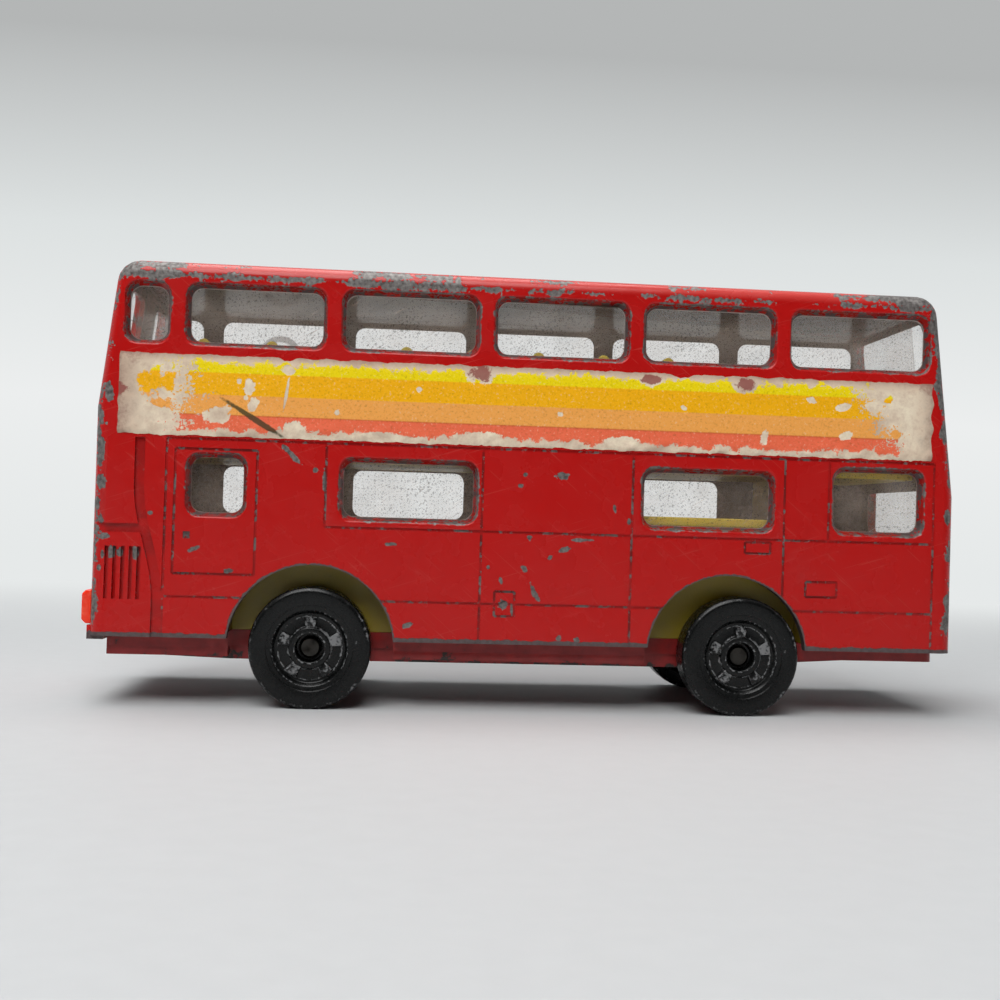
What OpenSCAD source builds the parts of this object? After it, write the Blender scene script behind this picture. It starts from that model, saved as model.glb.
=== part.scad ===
// Die-cast toy double-decker bus, in millimetres, with its front towards +X and its roof towards +Z.
// The origin is on the ground, below the middle of the whole bus.

/* [Body casting] */
// Length of the casting, from rear wall to front wall
body_len = 76; // [72:0.5:84]
// Width of the casting over its side walls
body_w = 23; // [22:0.5:26]
// Height of the roof above the ground
roof_z = 38.2; // [37.4:0.2:42]
// Height of the skirt's lower edge above the ground
skirt_z = 5.9; // [5.7:0.1:6.1]
// Thickness of the side and end walls
wall = 1.1; // [0.9:0.05:1.3]
// Thickness of the roof
roof_wall = 1.2; // [1:0.05:1.4]
// Radius of the four upright corners
corner_r = 1.2; // [1:0.1:1.8]
// Radius of the roof's edge along the two sides
roof_side_r = 1.1; // [0.8:0.1:1.6]
// Radius of the roof's edge across the two ends
roof_end_r = 2; // [1.4:0.1:2.6]
// Distance that the front wall leans back by the roof
front_lean = 1.85; // [1:0.05:2.4]
// Distance that the rear wall leans forward by the roof
rear_lean = 1.3; // [0.8:0.05:2]
// Radius of a wheel arch
arch_r = 7.15; // [6.8:0.05:7.6]

/* [Windows] */
// Distance from the roof down to the upper windows
upper_head_drop = 1.8; // [1.6:0.1:2.4]
// Height of the upper windows
upper_window_h = 5.4; // [4.8:0.1:5.8]
// Height of the lower windows' lower edge
lower_sill_z = 16.3; // [16:0.1:16.8]
// Height of the lower windows' upper edge
lower_head_z = 21.8; // [21:0.1:22.2]
// Radius of a window's corners
window_r = 1.3; // [1:0.05:1.6]
// Distance that a window narrows on each side through the wall
flare = 0.4; // [0.2:0.05:0.5]
// Width of the pillars between the upper windows
pillar = 1.2; // [0.9:0.1:1.8]
// Width of the short upper window at the rear
rear_window_w = 3.95; // [3.4:0.05:5]
// Width of the long upper window at the front
front_window_w = 13; // [12:0.1:14]
// Thickness of the clear moulding
glaze_t = 0.7; // [0.5:0.05:0.8]

/* [Wheels and axles] */
// Diameter of a wheel over its tread
wheel_d = 10.5; // [10.2:0.1:10.8]
// Width of a wheel
wheel_w = 3.4; // [3:0.1:3.5]
// Diameter of the axle wire
axle_d = 1.2; // [1:0.05:1.3]
// Running clearance on the radius of the axle, in the base and in the wheels
run_gap = 0.05; // [0.03:0.01:0.08]
// Distance from the rear wall to the rear axle
rear_overhang = 18.7; // [18.4:0.1:19.2]
// Distance from the front wall to the middle of the front arch
front_overhang = 20.7; // [20:0.1:21]
// Distance that the front axle sits ahead of the middle of its arch
front_lead = 1.2; // [0.4:0.1:1.4]

/* [Base and inside] */
// Height of the base's flat underside above the ground
keel_z = 3.8; // [3.5:0.1:4.1]
// Thickness of the base's floor plate
base_t = 1.4; // [1.2:0.05:1.5]
// Distance between the seat rows
seat_pitch = 5.9; // [5.4:0.1:6.6]
// Distance from the upper seats' tops to the ceiling
seat_clear = 5.1; // [4.4:0.1:6]
// Thickness of the two seat mouldings' walls
moulding_t = 1; // [0.8:0.05:1.1]

/* [Labels and lamps] */
// Distance from a side label up to the windows
label_margin = 0.75; // [0.5:0.05:1.5]
// Thickness of a side label's paper
label_t = 0.12; // [0.08:0.01:0.2]
// Distance that a tail lamp stands out from the rear wall
lamp_proud = 0.85; // [0.6:0.05:1]

/* [Hidden] */
$fn = 48;

// One overrun for all cuts
over = 0.5;
// Facets of the rounded corners that are blended or tapered
blend_fn = 32;
reveal_fn = 24;
// Steps of the rounded roof corners
roof_corner_steps = 4;

// Body casting
half_len = body_len / 2;
half_w = body_w / 2;
headlamp_proud = 0.2;
frame_x = (lamp_proud - headlamp_proud) / 2;
upper_head_z = roof_z - upper_head_drop;
upper_sill_z = upper_head_z - upper_window_h;
front_top_x = half_len - front_lean;
rear_top_x = -half_len + rear_lean;
front_lean_drop = 1.8;
front_lean_z = lower_head_z - front_lean_drop;
rear_lean_drop = 5.5;
rear_lean_z = upper_sill_z - rear_lean_drop;
roof_arc_r = max(0, roof_end_r - roof_side_r);
roof_end_z = roof_z - roof_end_r;
rear_end_x = rear_top_x + roof_end_r;
front_end_x = front_top_x - roof_end_r;
inner_w = body_w - 2 * wall;
inner_r = 0.4;
ceiling_z = roof_z - roof_wall;
front_lean_angle = atan(front_lean / (roof_end_z - front_lean_z));
rear_lean_angle = atan(rear_lean / (roof_end_z - rear_lean_z));

// Wheels and axles
wheel_r = wheel_d / 2;
axle_r = axle_d / 2;
axle_z = wheel_r;
rear_axle_x = -half_len + rear_overhang;
front_arch_x = half_len - front_overhang;
front_axle_x = front_arch_x + front_lead;
wheel_proud = 0.4;
wheel_out_y = half_w + wheel_proud;
wheel_in_y = wheel_out_y - wheel_w;
hub_boss_r = 1.5;
hub_boss_t = 0.6;
shoulder_r = 0.45;
sidewall_r = 3.72;
sidewall_drop = 0.1;
rim_r = 3.3;
rim_drop = 0.5;
rim_slope = 0.3;
hub_r = 1.75;
hub_rise = 0.35;
block_rise = 0.3;
block_gap = 0.2;
block_r = rim_r - rim_slope - block_gap;
block_angle = 28;
block_count = 5;
recess_r = 1.23;
recess_depth = 1.5;
head_r = 0.95;
head_t = 0.5;
head_gap = 0.1;
head_edge = 0.2;

// Base
base_top_z = skirt_z + moulding_t / 2;
base_gap = 0.2;
base_rear_x = -half_len + wall + base_gap;
base_front_x = half_len - wall - base_gap;
base_half_w = inner_w / 2 - base_gap;
side_gap = 0.5;
keel_half_w = wheel_in_y - hub_boss_t - side_gap;
keel_rear_rise = 0.35;
keel_front_rise = 1.4;
rail_w = 1.3;
rail_edge = 0.3;
rail_out_y = base_half_w - rail_edge;
rail_in_y = rail_out_y - rail_w;
rail_drop = 0.75;
pan_margin = 1.8;
pan_depth = 0.25;
pan_r = 0.8;

// Rivet posts of the casting, which hold the base
rivet_setback = 3.2;
rivet_x = half_len - wall - rivet_setback;
post_r = 1.7;
post_drop = 1.6;
post_top_z = lower_sill_z - post_drop;
rivet_r = 1;
rivet_gap = 0.1;
rivet_head_r = 1.6;
rivet_head_t = 0.4;
rivet_seat_t = 0.9;
rivet_seat_z = base_top_z - rivet_seat_t;

// Clear moulding
glaze_gap = 0.1;
glaze_half_w = inner_w / 2 - glaze_gap;
glaze_overlap = 1;
glaze_foot_z = lower_sill_z - glaze_overlap;
glaze_corner_r = 0.5;

// Seat mouldings
fit_gap = 0.3;
saloon_half_w = glaze_half_w - glaze_t - fit_gap;
saloon_end = wall + glaze_gap + glaze_t + fit_gap;
upper_floor_rise = 0.2;
upper_floor_z = lower_head_z + upper_floor_rise;
lower_floor_z = base_top_z + moulding_t;
seat_h = ceiling_z - seat_clear - upper_floor_z - moulding_t / 2;
first_seat = 8.5;
aisle = 3;
seat_back_t = 1.1;
seat_cushion_h = 3.6;
seat_cushion_l = 3.4;
lower_seat_h = 7.6;
bulkhead_t = 0.8;
box_wall = 0.8;
well_gap = 0.25;
well_in_y = wheel_in_y - hub_boss_t - well_gap;
box_in_y = well_in_y - box_wall;
rear_box_rise = 0.4;
rear_box_z = lower_sill_z + rear_box_rise;
front_box_rise = 1.2;
front_box_z = lower_sill_z + front_box_rise;
keeper_gap = 0.1;

// Windows of the upper deck, from the rear: one short, four alike and one long
bay_count = 4;
rear_post = 2.1;
front_post = 2.65;
upper_x0 = -half_len + rear_post;
upper_x1 = half_len - front_post;
bay_x0 = upper_x0 + rear_window_w + pillar;
bay_x1 = upper_x1 - front_window_w - pillar;
bay_w = (bay_x1 - bay_x0 - (bay_count - 1) * pillar) / bay_count;
bay = bay_w + pillar;
upper_spans = concat(
    [[upper_x0, upper_x0 + rear_window_w]],
    [for (i = [0:bay_count - 1]) [bay_x0 + i * bay, bay_x0 + i * bay + bay_w]],
    [[upper_x1 - front_window_w, upper_x1]]
);
// Middles of the upper pillars that the lower deck's seams follow
stair_rear_x = bay_x0 + 2 * bay - pillar / 2;
stair_front_x = bay_x0 + 3 * bay - pillar / 2;

// Doors and windows of the lower deck
seam_rear = 6.1;
seam_rear_x = -half_len + seam_rear;
exit_gap = 0.75;
exit_w = 6.9;
exit_foot = 5.5;
exit_rise = 0.3;
exit_x0 = seam_rear_x + exit_gap;
exit_x1 = exit_x0 + exit_w;
exit_z0 = skirt_z + exit_foot;
exit_z1 = lower_head_z + exit_rise;
exit_margin = 0.85;
lower_shift = 0.2;
cab_w = 8.5;
cab_post = 2.9;
cab_rise = 0.6;
cab_x1 = half_len - cab_post;
cab_x0 = cab_x1 - cab_w;
door_leaf_w = 4.2;
door_post = 4;
door_margin = 0.4;
door_foot = 0.9;
door_x0 = half_len - door_post - 2 * door_leaf_w;
door_z0 = skirt_z + door_foot;

// Windows across the two ends
screen_post = 1.6;
screen_half_w = half_w - screen_post;
screen_head_drop = 0.7;
rear_pane_in = 2.4;
rear_pane_post = 2.4;
rear_pane_out = half_w - rear_pane_post;

// Seams in the sides
line_w = 0.22;
line_d = 0.12;
belt_rise = 1.15;
waist_drop = 0.6;
skirt_h = 3.5;
front_seam = 2.05;
arch_seam = 4.9;
arch_seam_rise = 4.8;
cab_seam = 0.35;
bay_seam = 0.9;
belt_line_z = lower_head_z + belt_rise;
waist_line_z = lower_sill_z - waist_drop;
skirt_line_z = skirt_z + skirt_h;
front_seam_x = half_len - front_seam;
arch_seam_x = front_arch_x + arch_seam;
arch_seam_z = skirt_z + arch_seam_rise;
cab_seam_x = cab_x0 - cab_seam;
bay_seam_x = bay_x0 + bay - bay_seam;

// Flaps in the right side: where each starts, its length and its height
lock_x = 1.3;
lock_rise = 2.45;
lock_l = 1.75;
lock_h = 2.15;
lock_r = 0.32;
vent_x = 1.4;
vent_drop = 1.85;
vent_l = 2.3;
vent_h = 1;
fuel_x = 7;
fuel_rise = 4.8;
fuel_l = 2.85;
fuel_h = 1.35;
lock_flap = [stair_rear_x + lock_x, skirt_z + lock_rise, lock_l, lock_h];
vent_flap = [front_arch_x + vent_x, lower_sill_z - vent_drop, vent_l, vent_h];
fuel_flap = [front_arch_x + fuel_x, skirt_z + fuel_rise, fuel_l, fuel_h];
handle = 0.6;
handle_inset = 0.8;
handle_rise = 3;
handle_x = exit_x0 + handle_inset;
handle_z = exit_z0 + handle_rise;

// Engine corner at the rear: a curved groove, a ledge and upright louvres
groove_top = 3.85;
groove_foot = 5.6;
groove_top_rise = 2.7;
groove_foot_rise = 3.1;
groove_top_x = -half_len + groove_top;
groove_foot_x = -half_len + groove_foot;
groove_top_z = lower_sill_z + groove_top_rise;
groove_foot_z = skirt_z + groove_foot_rise;
groove_w = 0.85;
groove_d = 0.3;
groove_steps = 12;
ledge_drop = 1.5;
ledge_z = lower_sill_z - ledge_drop;
ledge_h = 0.75;
louvre_w = 0.32;
louvre_pitch = 0.67;
louvre_count = 5;
louvre_start = 1.35;
louvre_foot = 3.2;
louvre_drop = 1.2;
louvre_x = -half_len + louvre_start;
louvre_z0 = skirt_z + louvre_foot;
louvre_z1 = ledge_z - louvre_drop;
louvre_d = 0.45;
lip_h = 1.2;
lip_proud = 0.3;
lip_drop = 0.35;
lip_end = 1;
lip_half_w = half_w - lip_end;
engine_post = 4.6;
engine_half_w = half_w - engine_post;
engine_louvre_h = 0.45;
engine_louvre_pitch = 1.15;

// Front wall: a blank sign recess and two pairs of lamp rings
sign_post = 4.5;
sign_half_w = half_w - sign_post;
sign_rise = 1.2;
sign_z0 = belt_line_z + sign_rise;
sign_h = 4.6;
sign_d = 0.2;
headlamp_r = 1.15;
headlamp_ring = 0.3;
headlamp_rise = 0.9;
headlamp_post = 2.6;
headlamp_pitch = 2.8;
headlamp_z = skirt_line_z + headlamp_rise;
headlamp_y = half_w - headlamp_post;

// Labels and lamps
label_gap = 0.2;
label_z0 = belt_line_z + label_gap;
label_h = upper_sill_z - label_margin - label_z0;
label_rear = 1.9;
label_front = 2.4;
label_corner = 0.5;
label_r = min(label_corner, label_h / 2);
lamp_h = 2.9;
lamp_w = 2.2;
lamp_gap = 0.1;
lamp_post = 2.3;
lamp_z = skirt_z - lip_drop + lip_h + lamp_gap + lamp_h / 2;
lamp_y = half_w - lamp_post;
lamp_edge = 0.35;
lamp_peg_r = 0.5;
lamp_peg_gap = 0.05;

module placed() {
    translate([frame_x, 0, 0]) children();
}

module both_sides() {
    children();
    mirror([0, 1, 0]) children();
}

// A plate in X and Y with round corners
module rounded_plate(x0, x1, half_y, z0, z1, r) {
    translate([0, 0, z0]) linear_extrude(height = z1 - z0) {
        translate([x0, -half_y + r]) square([x1 - x0, 2 * (half_y - r)]);
        translate([x0 + r, -half_y]) square([x1 - x0 - 2 * r, 2 * half_y]);
        for (x = [x0 + r, x1 - r], y = [-half_y + r, half_y - r]) {
            translate([x, y]) circle(r = r);
        }
    }
}

// An outline in X and Z, given thickness along Y from y0 to y1
module upright(y0, y1) {
    translate([0, y1, 0]) rotate([90, 0, 0]) linear_extrude(height = y1 - y0) children();
}

module across(x, z, r, length) {
    translate([x, 0, z]) rotate([90, 0, 0]) cylinder(h = length, r = r, center = true);
}

// The casting's outside: upright corners, leaning ends and a roof with soft edges
module outer_form() {
    hull() {
        $fn = blend_fn;
        for (y = [-half_w + corner_r, half_w - corner_r]) {
            translate([half_len - corner_r, y, skirt_z]) cylinder(h = front_lean_z - skirt_z, r = corner_r);
            translate([-half_len + corner_r, y, skirt_z]) cylinder(h = rear_lean_z - skirt_z, r = corner_r);
            for (x = [rear_top_x + corner_r, front_top_x - corner_r]) {
                translate([x, y, roof_end_z]) sphere(r = corner_r);
            }
        }
        for (y = [-half_w + roof_side_r, half_w - roof_side_r]) {
            translate([rear_end_x, y, roof_z - roof_side_r]) rotate([0, 90, 0])
                cylinder(h = front_end_x - rear_end_x, r = roof_side_r);
            translate([front_end_x, y, roof_end_z]) roof_corner();
            translate([rear_end_x, y, roof_end_z]) mirror([1, 0, 0]) roof_corner();
        }
        for (x = [rear_end_x, front_end_x]) {
            across(x, roof_end_z, roof_end_r, body_w - 2 * roof_side_r);
        }
    }
}

// The side edge's radius, carried round the end's arc
module roof_corner() {
    for (i = [0:roof_corner_steps]) {
        rotate([0, -90 * i / roof_corner_steps, 0]) translate([roof_arc_r, 0, 0]) sphere(r = roof_side_r);
    }
}

module cavity() {
    hull() {
        $fn = reveal_fn;
        for (y = [-inner_w / 2 + inner_r, inner_w / 2 - inner_r]) {
            translate([half_len - wall - inner_r, y, skirt_z - over])
                cylinder(h = front_lean_z - skirt_z + over, r = inner_r);
            translate([-half_len + wall + inner_r, y, skirt_z - over])
                cylinder(h = rear_lean_z - skirt_z + over, r = inner_r);
            for (x = [rear_top_x + wall + inner_r, front_top_x - wall - inner_r]) {
                translate([x, y, ceiling_z - over]) cylinder(h = over, r = inner_r);
            }
        }
    }
}

// A window's cut, which narrows towards the inside; the wall's outer face is at zero and outside is +Z
module reveal(w, h) {
    slope = flare / wall;
    deep = wall + over;
    w_in = w - 2 * slope * deep;
    h_in = h - 2 * slope * deep;
    w_out = w + 2 * slope * over;
    h_out = h + 2 * slope * over;
    r_in = window_r - flare;
    translate([0, 0, -deep])
        linear_extrude(height = deep + over, scale = [w_out / w_in, h_out / h_in], slices = 1)
            offset(r = r_in, $fn = reveal_fn) square([w_in - 2 * r_in, h_in - 2 * r_in], center = true);
}

module side_window(x0, x1, z0, z1) {
    translate([(x0 + x1) / 2, -half_w, (z0 + z1) / 2]) rotate([90, 0, 0]) reveal(x1 - x0, z1 - z0);
}

// The same cut through an end wall; facing is 1 at the front and -1 at the rear
module end_window(facing, y0, y1, z0, z1, lean_z, lean) {
    middle_z = (z0 + z1) / 2;
    setback = max(0, middle_z - lean_z) * tan(lean);
    translate([facing * (half_len - setback), (y0 + y1) / 2, middle_z])
        rotate([0, middle_z > lean_z ? -facing * lean : 0, 0])
            rotate([90, 0, facing * 90]) reveal(y1 - y0, z1 - z0);
}

module right_lower_windows() {
    side_window(exit_x0 + exit_margin, exit_x1 - exit_margin, lower_sill_z, lower_head_z);
    for (i = [2, 4]) {
        side_window(upper_spans[i][0] + lower_shift, upper_spans[i][1] + lower_shift,
            lower_sill_z, lower_head_z);
    }
    side_window(cab_x0, cab_x1, lower_sill_z, lower_head_z + cab_rise);
}

module left_lower_windows() {
    mirror([0, 1, 0]) {
        side_window(exit_x0 + exit_margin, exit_x1 - exit_margin, lower_sill_z, lower_head_z);
        for (i = [2:4]) {
            side_window(upper_spans[i][0] + lower_shift, upper_spans[i][1] + lower_shift,
                lower_sill_z, lower_head_z);
        }
        for (i = [0, 1]) {
            leaf_x0 = door_x0 + i * door_leaf_w;
            side_window(leaf_x0 + door_margin, leaf_x0 + door_leaf_w - door_margin,
                lower_sill_z, lower_head_z);
        }
    }
}

module end_windows() {
    end_window(1, -screen_half_w, screen_half_w, upper_sill_z, upper_head_z,
        front_lean_z, front_lean_angle);
    end_window(1, -screen_half_w, screen_half_w, lower_sill_z, lower_head_z - screen_head_drop,
        lower_head_z, front_lean_angle);
    both_sides() {
        end_window(-1, rear_pane_in, rear_pane_out, upper_sill_z, upper_head_z,
            rear_lean_z, rear_lean_angle);
    }
}

// Seams are shallow grooves in the right side's face
module seam_up(x, z0, z1) {
    translate([x - line_w / 2, -half_w - line_d, z0]) cube([line_w, 2 * line_d, z1 - z0]);
}

module seam_along(x0, x1, z) {
    translate([x0, -half_w - line_d, z - line_w / 2]) cube([x1 - x0, 2 * line_d, line_w]);
}

module flap(f) {
    seam_up(f[0], f[1], f[1] + f[3]);
    seam_up(f[0] + f[2], f[1], f[1] + f[3]);
    seam_along(f[0], f[0] + f[2], f[1]);
    seam_along(f[0], f[0] + f[2], f[1] + f[3]);
}

module shared_seams() {
    seam_along(seam_rear_x, front_seam_x, belt_line_z);
    seam_along(seam_rear_x, front_seam_x, skirt_line_z);
    seam_up(seam_rear_x, skirt_z - over, belt_line_z);
    seam_up(stair_rear_x, skirt_z - over, belt_line_z);
    seam_up(stair_front_x, skirt_z - over, belt_line_z);
    seam_up(front_seam_x, skirt_z - over, belt_line_z);
}

module right_seams() {
    shared_seams();
    seam_along(bay_seam_x, front_seam_x, waist_line_z);
    seam_up(bay_seam_x, waist_line_z, belt_line_z);
    seam_up(arch_seam_x, arch_seam_z, belt_line_z);
    seam_up(cab_seam_x, waist_line_z, belt_line_z);
    flap([exit_x0, exit_z0, exit_w, exit_z1 - exit_z0]);
    flap(lock_flap);
    flap(vent_flap);
    flap(fuel_flap);
    translate([lock_flap[0] + lock_flap[2] / 2, -half_w, lock_flap[1] + lock_flap[3] / 2])
        rotate([90, 0, 0]) cylinder(h = 2 * line_d, r = lock_r, center = true);
    translate([handle_x, -half_w - line_d, handle_z]) cube([handle, 2 * line_d, handle]);
}

module left_seams() {
    mirror([0, 1, 0]) {
        shared_seams();
        seam_along(bay_seam_x, stair_front_x, waist_line_z);
        flap([door_x0, door_z0, door_leaf_w, exit_z1 - door_z0]);
        flap([door_x0 + door_leaf_w, door_z0, door_leaf_w, exit_z1 - door_z0]);
    }
}

// The groove's middle at height z swings from the upper to the lower place in one soft curve
function groove_x(z) =
    let (t = min(1, max(0, (groove_top_z - z) / (groove_top_z - groove_foot_z))))
    groove_top_x + (groove_foot_x - groove_top_x) * (1 - cos(180 * t)) / 2;

module engine_corner() {
    z0 = skirt_z - over;
    z1 = belt_line_z;
    zs = [for (i = [0:groove_steps]) z0 + (z1 - z0) * i / groove_steps];
    upright(-half_w - groove_d, -half_w + groove_d) polygon(concat(
        [for (z = zs) [groove_x(z) - groove_w / 2, z]],
        [for (i = [groove_steps:-1:0]) [groove_x(zs[i]) + groove_w / 2, zs[i]]]
    ));
    translate([-half_len - over, -half_w - groove_d, ledge_z])
        cube([groove_x(ledge_z) + half_len + over, 2 * groove_d, ledge_h]);
    for (i = [0:louvre_count - 1]) {
        translate([louvre_x + i * louvre_pitch - louvre_w / 2, -half_w - louvre_d, louvre_z0])
            cube([louvre_w, 2 * louvre_d, louvre_z1 - louvre_z0]);
    }
}

module rear_wall_cuts() {
    rows = floor((ledge_z - louvre_z0 - engine_louvre_h) / engine_louvre_pitch);
    for (i = [0:rows]) {
        translate([-half_len - louvre_d, -engine_half_w, louvre_z0 + i * engine_louvre_pitch])
            cube([2 * louvre_d, 2 * engine_half_w, engine_louvre_h]);
    }
    translate([-half_len - line_d, -rear_pane_out, ledge_z])
        cube([2 * line_d, 2 * rear_pane_out, ledge_h]);
    both_sides() {
        translate([-half_len - over, -lamp_y, lamp_z]) rotate([0, 90, 0])
            cylinder(h = wall + 2 * over, r = lamp_peg_r + lamp_peg_gap);
    }
}

module front_wall_cuts() {
    middle_z = sign_z0 + sign_h / 2;
    translate([half_len - (middle_z - front_lean_z) * tan(front_lean_angle), 0, middle_z])
        rotate([0, -front_lean_angle, 0]) cube([2 * sign_d, 2 * sign_half_w, sign_h], center = true);
    translate([half_len - line_d, -half_w, skirt_line_z - line_w / 2]) cube([2 * line_d, body_w, line_w]);
}

module headlamps() {
    both_sides() {
        for (y = [headlamp_y, headlamp_y - headlamp_pitch]) {
            translate([half_len - wall / 2, -y, headlamp_z]) rotate([0, 90, 0]) difference() {
                cylinder(h = wall / 2 + headlamp_proud, r = headlamp_r);
                translate([0, 0, wall / 2]) cylinder(h = over, r = headlamp_r - headlamp_ring);
            }
        }
    }
}

// A post on the end wall, with the rivet below it that goes through the base and is spread over
module rivet_post(facing) {
    reach = half_len - wall / 2 - rivet_x;
    translate([facing * rivet_x, 0, base_top_z]) cylinder(h = post_top_z - base_top_z, r = post_r);
    translate([facing > 0 ? rivet_x : -rivet_x - reach, -post_r, base_top_z])
        cube([reach, 2 * post_r, post_top_z - base_top_z]);
    translate([facing * rivet_x, 0, rivet_seat_z - rivet_head_t / 2])
        cylinder(h = base_top_z - rivet_seat_z + rivet_head_t, r = rivet_r);
    translate([facing * rivet_x, 0, rivet_seat_z - rivet_head_t])
        cylinder(h = rivet_head_t, r1 = rivet_r, r2 = rivet_head_r);
}

module body_shell() {
    color("#a81c1c") placed() {
        difference() {
            union() {
                outer_form();
                translate([-half_len - lip_proud, -lip_half_w, skirt_z - lip_drop])
                    cube([lip_proud + wall, 2 * lip_half_w, lip_h]);
            }
            cavity();
            for (x = [rear_axle_x, front_arch_x]) {
                across(x, axle_z, arch_r, body_w + 2 * over);
            }
            both_sides() {
                for (s = upper_spans) {
                    side_window(s[0], s[1], upper_sill_z, upper_head_z);
                }
            }
            right_lower_windows();
            left_lower_windows();
            end_windows();
            right_seams();
            left_seams();
            both_sides() engine_corner();
            rear_wall_cuts();
            front_wall_cuts();
        }
        headlamps();
        rivet_post(1);
        rivet_post(-1);
    }
}

// The base's underside rises towards both ends
module keel() {
    flat_x0 = rear_axle_x - arch_r;
    flat_x1 = front_arch_x - arch_r / 2;
    upright(-keel_half_w, keel_half_w) polygon([
        [base_rear_x, keel_z + keel_rear_rise],
        [flat_x0, keel_z],
        [flat_x1, keel_z],
        [base_front_x, keel_z + keel_front_rise],
        [base_front_x, base_top_z],
        [base_rear_x, base_top_z]
    ]);
}

module base_rails() {
    z0 = base_top_z - base_t - rail_drop;
    h = rail_drop + base_t / 2;
    middle_x0 = rear_axle_x + arch_r;
    middle_x1 = front_arch_x - arch_r;
    both_sides() {
        translate([base_rear_x, rail_in_y, z0]) cube([rear_axle_x - arch_r - base_rear_x, rail_w, h]);
        translate([middle_x0, rail_in_y, z0]) cube([middle_x1 - middle_x0, rail_w, h]);
    }
}

// A slot that opens upwards, with a round foot for the axle
module axle_slot(x) {
    across(x, axle_z, axle_r + run_gap, body_w);
    translate([x - axle_r - run_gap, -half_w, axle_z])
        cube([2 * (axle_r + run_gap), body_w, base_top_z - axle_z + over]);
}

module base_plate() {
    color("#7c1418") placed() difference() {
        union() {
            rounded_plate(base_rear_x, base_front_x, base_half_w, base_top_z - base_t, base_top_z, pan_r);
            keel();
            base_rails();
        }
        both_sides() {
            for (x = [rear_axle_x, front_arch_x]) {
                translate([x, wheel_in_y - hub_boss_t - side_gap / 2, axle_z]) rotate([-90, 0, 0])
                    cylinder(h = body_w, r = arch_r);
            }
        }
        axle_slot(rear_axle_x);
        axle_slot(front_axle_x);
        rounded_plate(rear_axle_x + pan_margin + wheel_r, front_arch_x - pan_margin - wheel_r,
            keel_half_w - pan_margin, keel_z - over, keel_z + pan_depth, pan_r);
        for (x = [-rivet_x, rivet_x]) {
            translate([x, 0, keel_z]) cylinder(h = base_top_z, r = rivet_r + rivet_gap);
            translate([x, 0, keel_z - over])
                cylinder(h = rivet_seat_z - keel_z + over, r = rivet_head_r + rivet_gap);
        }
    }
}

// A box with leaning ends, as the inside of the casting has, smaller by inset
module glaze_form(inset, z0, z1) {
    half_y = glaze_half_w - inset;
    r = glaze_corner_r;
    rear_share = (z1 - rear_lean_z) / (roof_end_z - rear_lean_z);
    front_share = (z1 - front_lean_z) / (roof_end_z - front_lean_z);
    x0 = -half_len + wall + glaze_gap + inset;
    x1 = half_len - wall - glaze_gap - inset;
    hull() {
        $fn = reveal_fn;
        for (y = [-half_y + r, half_y - r]) {
            translate([x0 + r, y, z0]) cylinder(h = rear_lean_z - z0, r = r);
            translate([x1 - r, y, z0]) cylinder(h = front_lean_z - z0, r = r);
            translate([x0 + rear_lean * rear_share + r, y, z1 - over]) cylinder(h = over, r = r);
            translate([x1 - front_lean * front_share - r, y, z1 - over]) cylinder(h = over, r = r);
        }
    }
}

module window_glazing() {
    color("#dfe6e6", 0.4) placed() difference() {
        glaze_form(0, glaze_foot_z, ceiling_z);
        glaze_form(glaze_t, glaze_foot_z - over, ceiling_z - glaze_t);
    }
}

// One seat row: a back with a round top and a cushion, on each side of the aisle
module seat_row(x, floor_z, back_h, half_y) {
    both_sides() {
        upright(aisle / 2, half_y) {
            translate([x - seat_back_t / 2, floor_z - moulding_t / 2])
                square([seat_back_t, back_h - seat_back_t / 2 + moulding_t / 2]);
            translate([x, floor_z + back_h - seat_back_t / 2]) circle(r = seat_back_t / 2);
            translate([x, floor_z - moulding_t / 2])
                square([seat_cushion_l, seat_cushion_h + moulding_t / 2]);
        }
    }
}

module upper_saloon() {
    half_y = saloon_half_w;
    first_x = -half_len + first_seat;
    last_x = front_arch_x;
    color("#b9a63c") placed() {
        rounded_plate(-half_len + saloon_end, half_len - saloon_end - front_lean / 2, half_y,
            upper_floor_z - moulding_t / 2, upper_floor_z + moulding_t / 2, glaze_corner_r);
        for (x = [first_x:seat_pitch:last_x]) {
            seat_row(x, upper_floor_z + moulding_t / 2, seat_h, half_y - fit_gap);
        }
    }
}

// A box over one right-hand wheel, open below and outwards, with a ledge for the clear moulding
module wheel_box(x, top_z) {
    half_l = arch_r + box_wall;
    difference() {
        translate([x - half_l, -base_half_w, base_top_z])
            cube([2 * half_l, base_half_w - box_in_y, top_z - base_top_z]);
        translate([x - arch_r, -half_w, base_top_z - over])
            cube([2 * arch_r, half_w - well_in_y, top_z - box_wall - base_top_z + over]);
        translate([x - half_l - over, -half_w, glaze_foot_z])
            cube([2 * (half_l + over), half_w - saloon_half_w, top_z]);
    }
}

module bulkhead(x) {
    translate([x, -saloon_half_w, base_top_z])
        cube([bulkhead_t, 2 * saloon_half_w, upper_floor_z - moulding_t / 2 - base_top_z]);
}

// A rib below the floor that keeps an axle down in its slot
module axle_keeper(x) {
    foot_z = axle_z + axle_r + keeper_gap;
    translate([x - axle_r, -keel_half_w, foot_z])
        cube([2 * axle_r, 2 * keel_half_w, base_top_z - foot_z + moulding_t / 2]);
}

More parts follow.
